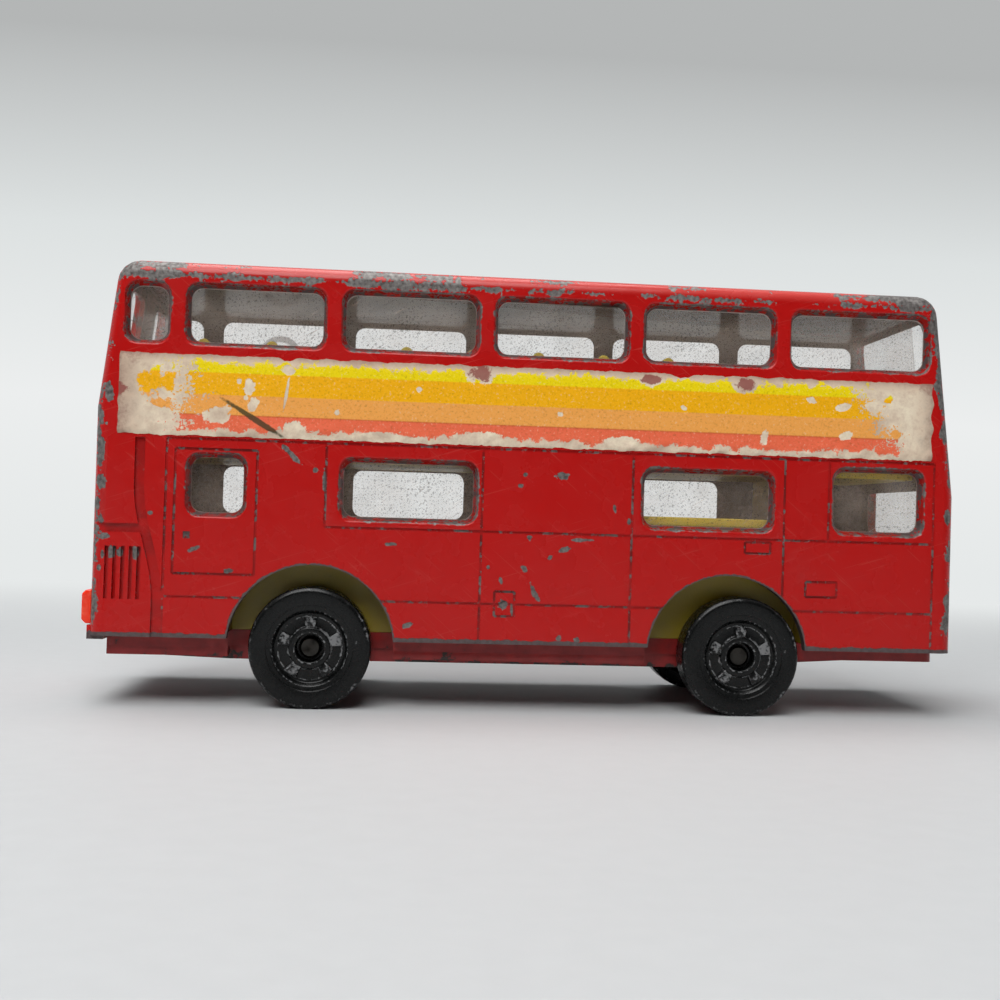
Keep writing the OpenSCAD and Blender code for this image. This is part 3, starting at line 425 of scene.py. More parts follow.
def dusty_styrene(look):
    """Clear moulded polystyrene, 0.7 mm thick: light goes straight through its haze, specks and scratches."""
    material, tree = new_material("Clear moulded polystyrene")
    place = millimetres(tree, CASTING_MIDDLE)
    x, y, z = add(tree, SPLIT, place).node.outputs
    haze = noise_at(tree, place, 3.0, 5.0, 0.7)
    haze = add(tree, RANGE, haze, 0.38, 0.75, look.haze * 0.3, look.haze)
    # Specks of dust in the plane of a pane; real ones are too fine to show, so these are a tenth of a mm
    specks = None
    along = add(tree, "ADD", x, y)
    pane = add(tree, "ShaderNodeCombineXYZ", along, z, 0.0)
    thick = noise_at(tree, place, 2.6, 2.0)
    for spacing, size in ((0.55, 0.3), (0.33, 0.34)):
        cell = add(tree, CELLS, {"Vector": pane, "Scale": 1 / spacing}, voronoi_dimensions="2D").node.outputs
        radius = add(tree, SPLIT, cell["Color"])
        radius = add(tree, "MULTIPLY", radius, thick)
        radius = add(tree, "MULTIPLY", radius, size * 1.25)
        speck = add(tree, "SUBTRACT", radius, cell["Distance"])
        speck = add(tree, RANGE, speck, 0.0, 0.06)
        specks = speck if specks is None else add(tree, "MAXIMUM", specks, speck)
    turn = math.radians(33.0)
    turned = add(tree, TURN, {"Vector": place, "Angle": turn}, rotation_type="Y_AXIS")
    turned = add(tree, VECTOR, turned, (1 / 2.4, 1.0, 1 / 0.09), operation="MULTIPLY")
    hair = noise_at(tree, turned, 1.0, 1.0)
    hair = add(tree, RANGE, hair, 0.72, 0.76, 0.0, 0.45)
    # The ring that the mould's ejector left on the left-hand wall
    ring = add(tree, VECTOR, place, (-24.6, 10.0, 32.6), out="Value", operation="DISTANCE")
    ring = apart(tree, ring, 1.9)
    ring = add(tree, RANGE, ring, 0.22, 0.4, 0.4, 0.0)
    cover = add(tree, "MULTIPLY", specks, 0.38)
    cover = add(tree, "MAXIMUM", cover, hair)
    cover = add(tree, "MAXIMUM", cover, ring)
    # A pane seen edge on mirrors more, so it covers more
    glance = add(tree, "ShaderNodeLayerWeight", {"Blend": 0.25}, out="Facing")
    alpha = add(tree, "MAXIMUM", haze, cover)
    alpha = add(tree, "MULTIPLY_ADD", glance, 0.35, alpha, use_clamp=True)
    dust = blend(tree, specks, look.tint, look.dust)
    return coated(material, tree, {
        "Base Color": dust, "Roughness": 0.12, "IOR": 1.59, "Alpha": alpha})


def seat_styrene(look):
    """Coloured moulded polystyrene: an even satin skin with slow flow marks and specks of dust."""
    material, tree = new_material("Moulded polystyrene, mustard yellow")
    place = millimetres(tree, CASTING_MIDDLE)
    flow = add(tree, NOISE, {"Vector": place, "Scale": 1 / 7.0, "Detail": 3.0, "Distortion": 1.2})
    grain = noise_at(tree, place, 0.25, 2.0)
    skin = blend(tree, flow, look.plastic, look.plastic_shade)
    dust = add(tree, RANGE, grain, 0.66, 0.74, 0.0, 0.35)
    skin = blend(tree, dust, skin, "#55491f")
    # Painted shade: the moulding is darkened low down, below the window line, where the wheel boxes lie in
    # the shadow of the arches
    z = add(tree, SPLIT, place, out="Z")
    wheel_box_shade = add(tree, "MULTIPLY_ADD", flow, 2.0, z)
    wheel_box_shade = add(tree, RANGE, wheel_box_shade, 14.5, 17.2, 0.85, 0.0)
    skin = blend(tree, wheel_box_shade, skin, "#8d7a12")
    roughness = add(tree, RANGE, flow, 0.3, 0.7, 0.36, 0.5)
    normal = add(tree, BUMP, {"Height": grain, "Distance": 0.01 * MM, "Strength": 0.6})
    # A thin wall of it lets some light through
    return coated(material, tree, {
        "Base Color": skin, "Roughness": roughness, "IOR": 1.59, "Normal": normal,
        "Subsurface Weight": 0.5, "Subsurface Radius": (1.0, 0.8, 0.3), "Subsurface Scale": MM})


def drawn_steel():
    """Drawn steel wire: a dull dark gleam, partly tarnish and grease, partly painted shade for the axle ends
    that sit deep in the wheels' bores.
    """
    material, tree = new_material("Drawn steel wire")
    place = millimetres(tree)
    tarnish = noise_at(tree, place, 0.8, 4.0)
    tarnish = add(tree, RANGE, tarnish, 0.45, 0.75)
    # Both tones are dark: tarnish, and painted shade in the bores
    skin = blend(tree, tarnish, "#3e3c39", "#1b1816")
    roughness = add(tree, RANGE, tarnish, 0.0, 1.0, 0.3, 0.55)
    normal = add(tree, BUMP, {"Height": tarnish, "Distance": 0.02 * MM, "Strength": 0.5})
    return coated(material, tree, {
        "Base Color": skin, "Metallic": 1.0, "Roughness": roughness, "Normal": normal})


# How far a wheel's boss stands out behind it, and how high its blocks are
HUB_BOSS = 0.6
BLOCK_TOP = 3.2

# Pale rings on a wheel, partly rubbed plastic and partly painted highlight where light glints on its
# shoulder, rim, blocks and hub ring, as radius, reach and strength
RUBBED_AND_GLINTING_RINGS = (
    (5.05, 0.22, 0.2), (3.25, 0.16, 0.26), (2.75, 0.18, 0.32), (1.85, 0.16, 0.32), (1.35, 0.14, 0.26))


def wheel_styrene(look, block_top):
    """Black moulded polystyrene: a semi-gloss skin, rubbed pale on the rim and the blocks by handling, with
    painted highlights on the same rings and block tops.
    """
    material, tree = new_material("Black moulded polystyrene")
    place = millimetres(tree)
    across = add(tree, VECTOR, place, (1.0, 0.0, 1.0), operation="MULTIPLY")
    radius = add(tree, VECTOR, across, out="Value", operation="LENGTH")
    ragged = noise_at(tree, place, 0.45, 4.0, 0.7)
    broad = noise_at(tree, place, 3.0, 1.0)
    scuffs_and_glints = None
    for ring, width, rub in RUBBED_AND_GLINTING_RINGS:
        near = apart(tree, radius, ring)
        near = add(tree, RANGE, near, 0.0, width, rub, 0.0)
        scuffs_and_glints = near if scuffs_and_glints is None else add(tree, "MAXIMUM", scuffs_and_glints, near)
    out = add(tree, SPLIT, place, out="Y")
    out = add(tree, "ABSOLUTE", out)
    # Block tops are paled: partly wear, partly painted glint
    block_top_wear_and_glint = add(tree, RANGE, out, block_top - 0.12, block_top - 0.02, 0.0, 0.29)
    on_hub = add(tree, "COMPARE", radius, 2.35, 0.5)
    block_top_wear_and_glint = add(tree, "MULTIPLY", block_top_wear_and_glint, on_hub)
    scuffs_and_glints = add(tree, "MAXIMUM", scuffs_and_glints, block_top_wear_and_glint)
    wear = add(tree, "ADD", ragged, scuffs_and_glints)
    wear = add(tree, "MULTIPLY_ADD", broad, 0.4, wear)
    scuff = add(tree, RANGE, wear, 0.92, 1.04, 0.0, look.scuff)
    skin = blend(tree, scuff, look.plastic, look.rubbed)
    roughness = add(tree, RANGE, ragged, 0.3, 0.7, 0.2, 0.34)
    normal = add(tree, BUMP, {"Height": ragged, "Distance": 0.004 * MM, "Strength": 0.6})
    return coated(material, tree, {
        "Base Color": skin, "Roughness": roughness, "IOR": 1.59, "Specular IOR Level": 0.22,
        "Normal": normal})


# Bare places in the print of a label, as X, Z, length, width and angle
PRINT_LOSS = [
    (-25.1, 27.5, 1.0, 1.3, 0), (-24.8, 25.9, 0.9, 1.5, 20), (-26.0, 28.0, 0.5, 0.5, 0),
    (-25.4, 26.6, 0.4, 0.5, 0), (-21.8, 29.1, 1.3, 0.9, 0), (-27.6, 25.1, 2.6, 1.6, -15),
    (-21.2, 24.0, 2.2, 1.4, 0), (20.2, 24.9, 0.8, 1.5, 20), (27.6, 25.2, 1.2, 0.7, -20),
    (27.4, 27.8, 1.4, 0.7, -15), (24.4, 28.3, 1.1, 0.6, 20), (30.0, 27.9, 1.3, 0.9, 0),
    (-14.0, 23.6, 5.0, 0.9, 0), (-5.3, 23.8, 4.8, 1.3, 0), (7.4, 23.8, 3.6, 1.3, 0),
    (-10.6, 27.9, 0.5, 0.5, 0), (1.8, 26.2, 0.5, 0.4, 0), (12.8, 27.2, 0.6, 0.4, 30),
    (-17.6, 25.6, 0.4, 0.5, 0), (-5.2, 29.6, 3.0, 2.1, 0), (9.9, 29.7, 2.6, 1.5, 0),
    (18.4, 29.6, 2.6, 2.1, 0), (-22.0, 26.9, 0.25, 3.6, 8),
]


# Islands of print that are left in the bare end of a label
PRINT_ISLANDS = [
    (-33.4, 27.6, 2.0, 2.6, 20), (-32.0, 27.9, 1.5, 1.6, 0), (-32.6, 25.9, 2.2, 0.8, 10),
    (-29.9, 24.9, 1.6, 1.0, 0), (31.4, 28.6, 0.9, 0.5, -30), (32.3, 25.6, 1.0, 0.6, 0),
]

# Places where the upper layers of a label are torn away
TORN = [
    (-5.2, 29.5, 2.0, 1.5, 0), (9.9, 29.6, 1.9, 0.9, 0), (18.4, 29.5, 1.8, 1.4, 0),
    (-36.0, 27.0, 1.6, 1.2, 0),
]


def worn_print(look, low_z, high_z):
    """Coated paper printed in four flat bands: matt, and rubbed to grubby cream fibre at its edges."""
    material, tree = new_material("Printed coated paper")
    place = millimetres(tree, CASTING_MIDDLE)
    x, y, z = add(tree, SPLIT, place).node.outputs
    flat = add(tree, VECTOR, place, (1.0, 0.0, 1.0), operation="MULTIPLY")
    ragged = noise_at(tree, place, 1.3, 4.0, 0.68)
    ragged = add(tree, "SUBTRACT", ragged, 0.5)
    fibre = noise_at(tree, place, 0.22, 3.0, 0.7)
    fibre = add(tree, "SUBTRACT", fibre, 0.5)
    rough = add(tree, "MULTIPLY_ADD", fibre, 0.35, ragged)

    # Four bands, with the printer's dark line between the lower two
    band = look.band_foot
    for edge_z, tone in ((25.05, look.band_low), (26.78, look.band_high), (28.68, look.band_top)):
        above = add(tree, "MULTIPLY_ADD", fibre, 0.12, z)
        above = add(tree, RANGE, above, edge_z - 0.05, edge_z + 0.05)
        band = blend(tree, above, band, tone)
    line = apart(tree, z, 25.05)
    line = add(tree, RANGE, line, 0.03, 0.1, 0.45, 0.0)
    band = blend(tree, line, band, "#b8401e")
    mottle = add(tree, RANGE, fibre, -0.26, -0.04, 0.42, 0.0)
    band = blend(tree, mottle, band, "#7a4a10")

    # Where the print is left: clear of the ends and edges, and of the rubbed places
    left = add(tree, "ADD", x, 30.6)
    right = add(tree, "MULTIPLY_ADD", z, -0.75, 50.5)
    right = add(tree, "SUBTRACT", right, x)
    ends = add(tree, "MINIMUM", left, right)
    under = add(tree, "SUBTRACT", z, low_z + 0.55)
    over = add(tree, "SUBTRACT", high_z - 0.5, z)
    edges = add(tree, "MINIMUM", under, over)
    ends = plus(tree, ends, (rough, 9.0), (fibre, 7.0))
    edges = add(tree, "MULTIPLY_ADD", rough, 2.6, edges)
    kept = add(tree, "MINIMUM", ends, edges)
    island = marks(tree, flat, PRINT_ISLANDS, rough, 3.4)
    kept = add(tree, "MAXIMUM", kept, island)
    lost = marks(tree, flat, PRINT_LOSS, rough)
    lost = add(tree, RANGE, lost, 0.0, 0.12)
    kept = add(tree, RANGE, kept, 0.0, 0.18)
    flecks = add(tree, RANGE, fibre, 0.1, 0.24, 0.0, 0.6)
    lost = add(tree, "MAXIMUM", lost, flecks)
    no_loss = add(tree, "SUBTRACT", 1.0, lost)
    kept = add(tree, "MULTIPLY", kept, no_loss)

    # Bare paper: cream, brown with grime towards the ends and corners
    bare = add(tree, RANGE, rough, -0.3, 0.3)
    paper = blend(tree, bare, look.paper_grubby, look.paper)
    stain = add(tree, "ABSOLUTE", x)
    stain = add(tree, "MULTIPLY_ADD", rough, 5.0, stain)
    stain = add(tree, RANGE, stain, 34.2, 36.6, 0.0, 0.8)
    paper = blend(tree, stain, paper, "#7d4f47")
    foxed = noise_at(tree, place, 5.0, 3.0)
    foxed = add(tree, RANGE, foxed, 0.55, 0.75, 0.0, 0.7)
    paper = blend(tree, foxed, paper, "#a58a78")
    smear = add(tree, "MULTIPLY_ADD", rough, 2.2, z)
    smear = add(tree, RANGE, smear, high_z - 0.9, high_z + 0.1, 0.0, 0.7)
    paper = blend(tree, smear, paper, "#8d5f56")
    skin = blend(tree, kept, paper, band)

    # Places along the upper edge where only a thin brown layer is left
    torn = marks(tree, flat, TORN, rough)
    torn = add(tree, RANGE, torn, 0.0, 0.2, 0.0, 0.85)
    skin = blend(tree, torn, skin, "#8b4440")

    # A long dark scrape across the right-hand label's rear half
    scrape = marks(tree, flat, [(-24.6, 24.8, 7.0, 0.6, 31)], rough, 0.9)
    on_left = add(tree, "GREATER_THAN", y, 0.0)
    scrape = add(tree, "MULTIPLY_ADD", on_left, -9.0, scrape)
    scrape = add(tree, RANGE, scrape, 0.05, 0.3, 0.0, 0.9)
    skin = blend(tree, scrape, skin, "#3f3f28")
    height = plus(tree, 0.0, (fibre, 0.03), (kept, 0.02))
    normal = add(tree, BUMP, {"Height": height, "Distance": MM, "Strength": 0.8})
    roughness = add(tree, RANGE, kept, 0.0, 1.0, 0.85, 0.5)
    return coated(material, tree, {
        "Base Color": skin, "Roughness": roughness, "IOR": 1.45, "Specular IOR Level": 0.2,
        "Normal": normal})


def lamp_acrylic(look):
    """Orange-red moulded acrylic: bright and glossy, scuffed in places."""
    material, tree = new_material("Orange moulded acrylic")
    place = millimetres(tree, CASTING_MIDDLE)
    scuff = noise_at(tree, place, 0.5, 4.0)
    scuff = add(tree, RANGE, scuff, 0.5, 0.72, 0.0, 0.25)
    skin = blend(tree, scuff, look.plastic, look.rubbed)
    roughness = add(tree, RANGE, scuff, 0.0, 1.0, 0.2, 0.45)
    normal = add(tree, BUMP, {"Height": scuff, "Distance": 0.05 * MM, "Strength": 0.5})
    return coated(material, tree, {
        "Base Color": skin, "Roughness": roughness, "IOR": 1.49, "Normal": normal,
        "Subsurface Weight": 0.3, "Subsurface Radius": (0.6 * MM, 0.2 * MM, 0.1 * MM),
        "Subsurface Scale": 1.0})


def shown(tree):
    """1 where a thing is seen, straight, mirrored or through a pane, and 0 where it only lights others."""
    rays = add(tree, "ShaderNodeLightPath").node.outputs
    seen = add(tree, "MAXIMUM", rays["Is Camera Ray"], rays["Is Glossy Ray"])
    return add(tree, "MAXIMUM", seen, rays["Is Transmission Ray"])


def studio_card(look):
    """Matt white card, swept up behind: it takes the bus's shadow and fades to grey with height."""
    material, tree = new_material("Matt studio card")
    place = add(tree, "ShaderNodeTexCoord", out="Object")
    x, y, z = add(tree, SPLIT, place).node.outputs
    grain = noise_at(tree, place, 2.0 * MM, 3.0)
    grain = add(tree, RANGE, grain, 0.0, 1.0, 0.97, 1.03)
    card = add(tree, VECTOR, {0: tuple(look.card[:3]), "Scale": grain}, operation="SCALE")
    matt = add(tree, SHADER, {"Base Color": card, "Roughness": 0.6, "IOR": 1.3})
    # Behind the bus and far to its ends the sweep glows by itself, and keeps its tone whatever lights the bus
    ramp = add(tree, "ShaderNodeValToRGB", add(tree, RANGE, z, 0.0, look.sweep_height)).node
    tones = [(0.0, look.card_glow), (0.26, look.haze_low), (0.61, look.haze_mid), (1.0, look.haze_high)]
    while len(ramp.color_ramp.elements) < len(tones):
        ramp.color_ramp.elements.new(0.5)
    for element, (spot, tone) in zip(ramp.color_ramp.elements, tones):
        element.position = spot
        element.color = colour(tone)
    glow = add(tree, "ShaderNodeEmission", {"Color": ramp.outputs[0], "Strength": 1.0})
    aside = add(tree, "ABSOLUTE", x)
    aside = add(tree, RANGE, aside, 0.14, 1.14, 0.0, 0.8)
    behind = add(tree, "ADD", y, aside)
    behind = add(tree, RANGE, behind, look.glow_from, look.glow_to, interpolation_type="SMOOTHSTEP")
    seen = add(tree, "MULTIPLY", shown(tree), behind)
    surface = add(tree, "ShaderNodeMixShader", seen, matt, glow)
    add(tree, OUTPUT, {"Surface": surface})
    return material


def node_mesh(node):
    """A CAD node's shape as an editable mesh: welded, with each flat face in one piece."""
    made = bmesh.new()
    made.from_mesh(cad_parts[node].data)
    bmesh.ops.remove_doubles(made, verts=made.verts, dist=0.002 * MM)
    bmesh.ops.dissolve_degenerate(made, dist=0.001 * MM, edges=made.edges)
    bmesh.ops.dissolve_limit(
        made, angle_limit=math.radians(0.6), verts=made.verts, edges=made.edges, delimit=set())
    return made


def ease(made, edges, radius, segments):
    """Rounds some edges over; a corner that this throws out goes back to the old surface."""
    old = BVHTree.FromBMesh(made)
    bmesh.ops.bevel(made, geom=edges, offset=radius, offset_type="OFFSET", segments=segments, profile=0.5,
                    affect="EDGES", clamp_overlap=False, loop_slide=False)
    for vert in made.verts:
        spot, _, _, away = old.find_nearest(vert.co)
        if away > 0.75 * radius:
            vert.co = spot


def sharp_edges(made, least=30.0):
    """The edges that turn by more than some degrees."""
    return [e for e in made.edges if e.is_manifold and e.calc_face_angle(0.0) > math.radians(least)]


def place_piece(made, name, body, material, replaced, smooth=35.0, at=(0.0, 0.0, 0.0)):
    """Makes an object of a mesh, shades it, and lets it ride on its body in place of its CAD nodes."""
    if any(not e.is_manifold for e in made.edges):
        raise RuntimeError(f"{name} has an open edge")
    mesh = bpy.data.meshes.new(name)
    made.to_mesh(mesh)
    made.free()
    mesh.materials.append(material)
    mesh.polygons.foreach_set("use_smooth", [True] * len(mesh.polygons))
    mesh.set_sharp_from_angle(angle=math.radians(smooth))
    piece = bpy.data.objects.new(name, mesh)
    piece.location = at
    bpy.context.scene.collection.objects.link(piece)
    weighted = piece.modifiers.new("Even shading", "WEIGHTED_NORMAL")
    weighted.keep_sharp = True
    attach(piece, body)
    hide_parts(*replaced)
    return piece


def finish_node(node, material):
    """Gives a CAD node that stays a better material."""
    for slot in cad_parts[node].material_slots:
        slot.link = "OBJECT"
        slot.material = material


def wall_depth(point):
    """How far a point lies below the casting's nearest outer face, in millimetres."""
    x, y, z = point.x / MM - CASTING_MIDDLE, point.y / MM, point.z / MM
    front = HALF_LENGTH - max(0.0, z - FRONT_LEAN_Z) * FRONT_LEAN_SLOPE - x
    rear = HALF_LENGTH - max(0.0, z - REAR_LEAN_Z) * REAR_LEAN_SLOPE + x
    return min(front, rear, HALF_WIDTH - abs(y), ROOF_Z - z)


def colour_setting(name, description, hex_colour):
    """A colour that a user would change."""
    return bpy.props.FloatVectorProperty(
        name=name, description=description, subtype="COLOR", size=3, default=linear(hex_colour))


def length_setting(name, description, usual, least):
    """A length that a user would change, from its usual and least value in millimetres."""
    return bpy.props.FloatProperty(
        name=name, description=description, default=usual * MM, min=least * MM, unit="LENGTH", precision=5)


class CastingLook(bpy.types.PropertyGroup):
    """Finish of the body casting and the base."""

    paint: colour_setting("Paint", "Red enamel", "#b9110f")
    paint_faded: colour_setting("Faded paint", "Enamel that light has dulled", "#b01412")
    # Grime and painted shade: the dark enamel tone of seams, grooves and window reveals
    paint_recess: colour_setting("Paint in recesses", "Enamel under grime in seams and reveals", "#571f1e")
    base_paint: colour_setting("Base paint", "Enamel of the base", "#98201f")
    zinc: colour_setting("Zinc", "Rubbed zinc alloy", "#8a8683")
    zinc_dark: colour_setting("Dull zinc", "Zinc alloy under grease", "#3f3937")
    edge_wear: length_setting("Edge wear", "Reach of the wear from the casting's outer edges", 0.15, 0.0)
    rim_wear: length_setting("Rim wear", "Reach of the wear from window and arch rims", 0.05, 0.0)
    rim_round: length_setting("Rim rounding", "Rounding of the window rims", 0.16, 0.01)


class GlazingLook(bpy.types.PropertyGroup):
    """Finish of the clear moulding."""

    tint: colour_setting("Haze", "Colour of the haze on the moulding", "#e4d0c0")
    dust: colour_setting("Dust", "Colour of the specks", "#645e57")
    haze: bpy.props.FloatProperty(
        name="Haze cover", description="Share of the surface that haze covers",
        default=0.14, min=0.0, max=1.0, subtype="FACTOR")


class SeatLook(bpy.types.PropertyGroup):
    """Finish of the two seat mouldings."""

    plastic: colour_setting("Plastic", "Mustard yellow plastic", "#e6c81e")
    plastic_shade: colour_setting("Flow marks", "Darker flow marks in the plastic", "#d2b216")
    edge_round: length_setting("Edge rounding", "Rounding of the mouldings' edges", 0.1, 0.01)


class WheelLook(bpy.types.PropertyGroup):
    """Shape and finish of the wheels."""

    plastic: colour_setting("Plastic", "Black plastic", "#080909")
    # The pale colour and its strength serve both rubbed wear and painted highlights
    rubbed: colour_setting("Rubbed plastic", "Plastic rubbed pale", "#808182")
    scuff: bpy.props.FloatProperty(
        name="Scuffing", description="Strength of the pale scuffs",
        default=0.8, min=0.0, max=1.0, subtype="FACTOR")
    edge_round: length_setting("Edge rounding", "Rounding of the rim, hub and blocks", 0.09, 0.01)
    turns: bpy.props.IntProperty(name="Facets", description="Facets round a wheel", default=96, min=24)


class LabelLook(bpy.types.PropertyGroup):
    """Print and paper of the side labels."""

    band_top: colour_setting("Top band", "Yellow", "#f2d800")
    band_high: colour_setting("Second band", "Amber", "#f6b206")
    band_low: colour_setting("Third band", "Peach", "#f2a650")
    band_foot: colour_setting("Lowest band", "Coral red", "#ec6c4a")
    paper: colour_setting("Paper", "Bare paper", "#f6ead0")
    paper_grubby: colour_setting("Grubby paper", "Bare paper with grime", "#c9ae98")
    tear: length_setting("Tear", "How far the torn edges wander", 0.16, 0.0)
    lift: length_setting("Lift", "How far rolled-up fibre stands out along the lower edge", 0.2, 0.0)


class LampLook(bpy.types.PropertyGroup):
    """Finish of the tail lamps."""

    plastic: colour_setting("Plastic", "Orange-red plastic", "#f03410")
    rubbed: colour_setting("Rubbed plastic", "Scuffed plastic", "#f58a68")
    edge_round: length_setting("Edge rounding", "Rounding of the lamps' edges", 0.12, 0.01)


class StageLook(bpy.types.PropertyGroup):
    """Floor, backdrop, light and camera."""

    card: colour_setting("Card", "Floor card", "#bcbebf")
    card_glow: colour_setting("Card far off", "Tone of the floor behind the bus", "#e6e9e9")
    haze_low: colour_setting("Backdrop, low", "Tone just above the floor", "#eceeee")
    haze_mid: colour_setting("Backdrop, middle", "Tone behind the roof", "#dde1e1")
    haze_high: colour_setting("Backdrop, high", "Tone at the top", "#b4b6b6")
    sweep_height: bpy.props.FloatProperty(
        name="Sweep height", description="Height over which the backdrop fades", default=0.3, unit="LENGTH")
    glow_from: bpy.props.FloatProperty(
        name="Fade start", description="Distance behind the bus where the card starts to glow",
        default=0.03, unit="LENGTH")
    glow_to: bpy.props.FloatProperty(
        name="Fade end", description="Distance behind the bus where the card only glows",
        default=0.2, unit="LENGTH")
    key_power: bpy.props.FloatProperty(
        name="Overhead light", description="Power of the overhead light", default=1.45, min=0.0, unit="POWER")
    fill_power: bpy.props.FloatProperty(
        name="Front light", description="Power of the light beside the camera",
        default=2.4, min=0.0, unit="POWER")
    sky: bpy.props.FloatProperty(
        name="Room light", description="Strength of the light all round", default=0.3, min=0.0)


class ToyBusSettings(bpy.types.PropertyGroup):
    """All that a user would change."""

    casting: bpy.props.PointerProperty(type=CastingLook, name="Casting")
    glazing: bpy.props.PointerProperty(type=GlazingLook, name="Glazing")
    seats: bpy.props.PointerProperty(type=SeatLook, name="Seats")
    wheels: bpy.props.PointerProperty(type=WheelLook, name="Wheels")
    labels: bpy.props.PointerProperty(type=LabelLook, name="Labels")
    lamps: bpy.props.PointerProperty(type=LampLook, name="Lamps")
    stage: bpy.props.PointerProperty(type=StageLook, name="Stage")


class TOYBUS_OT_casting(bpy.types.Operator):
    """Round the window rims of the body casting and give it worn enamel"""

    bl_idname = "toybus.casting"
    bl_label = "Body casting"

    def execute(self, context):
        look = context.scene.toy_bus.casting
        made = node_mesh("body_shell")
        rims = []
        for edge in sharp_edges(made):
            ends = [wall_depth(v.co) for v in edge.verts]
            deepest = max(wall_depth(v.co) for f in edge.link_faces for v in f.verts)
            window = min(v.co.z for v in edge.verts) > LOWER_Z[0] * MM - look.rim_round
            flat = any(abs(f.normal.y) > 0.9999 or abs(f.normal.x) > 0.98 for f in edge.link_faces)
            if window and flat and min(ends) > -0.02 and max(ends) < 0.05 and deepest > 0.7:
                rims.append(edge)
        ease(made, rims, look.rim_round, 3)
        place_piece(made, "body_casting", "bus", worn_enamel(look), ["body_shell"])
        return {"FINISHED"}


class TOYBUS_OT_base(bpy.types.Operator):
    """Give the base its grimy enamel"""

    bl_idname = "toybus.base"
    bl_label = "Base"

    def execute(self, context):
        look = context.scene.toy_bus.casting
        made = node_mesh("base_plate")
        place_piece(made, "base_casting", "bus", base_enamel(look), ["base_plate"])
        return {"FINISHED"}


class TOYBUS_OT_glazing(bpy.types.Operator):
    """Make the window moulding clear and dusty"""

    bl_idname = "toybus.glazing"
    bl_label = "Clear moulding"

    def execute(self, context):
        finish_node("window_glazing", dusty_styrene(context.scene.toy_bus.glazing))
        return {"FINISHED"}


class TOYBUS_OT_seats(bpy.types.Operator):
    """Round the edges of the two seat mouldings and colour them"""

    bl_idname = "toybus.seats"
    bl_label = "Seat mouldings"

    def execute(self, context):
        look = context.scene.toy_bus.seats
        material = seat_styrene(look)
        for deck in ("upper", "lower"):
            made = node_mesh(f"{deck}_saloon")
            ease(made, sharp_edges(made), look.edge_round, 2)
            place_piece(made, f"{deck}_seats", "bus", material, [f"{deck}_saloon"])
        return {"FINISHED"}


class TOYBUS_OT_axles(bpy.types.Operator):
    """Give the axle wires their steel"""

    bl_idname = "toybus.axles"
    bl_label = "Axles"

    def execute(self, context):
        material = drawn_steel()
        for node in ("rear_axle", "front_axle"):
            finish_node(node, material)
        return {"FINISHED"}


def filleted(points, radius, steps=3):
    """A closed outline with its corners rounded, each as far as its shorter side allows."""
    made = []
    for i, corner in enumerate(points):
        here = Vector(corner)
        before, after = Vector(points[i - 1]), Vector(points[(i + 1) % len(points)])
        into, out = (before - here), (after - here)
        reach = min(radius, into.length * 0.45, out.length * 0.45)
        start, stop = here + into.normalized() * reach, here + out.normalized() * reach
        for step in range(steps + 1):
            t = step / steps
            made.append(start.lerp(here, t).lerp(here.lerp(stop, t), t))
    return made


def wheel_outline():
    """A wheel's section as radius and distance from its inner face, in millimetres."""
    tread, shoulder, outer, bore, recess = 5.25, 0.45, 3.4, 0.65, 1.23
    turns = [math.radians(d) for d in (15, 30, 45, 60, 75)]
    inner_round = [(tread - shoulder * (1 - math.sin(a)), shoulder - shoulder * math.cos(a)) for a in turns]
    outer_round = [(radius, outer - y) for radius, y in reversed(inner_round)]
    return [
        (bore, -HUB_BOSS), (1.5, -HUB_BOSS), (1.5, 0.25), (3.6, 0.25), (3.9, 0.0), (tread - shoulder, 0.0),
        *inner_round, (tread, shoulder), (tread, outer - shoulder), *outer_round, (tread - shoulder, outer),
        (3.72, outer), (3.72, 3.3), (3.3, 3.3), (3.0, 2.9), (1.85, 2.9),
        (1.75, 3.25), (recess, 3.25), (recess, 1.9), (bore, 1.9),
    ]


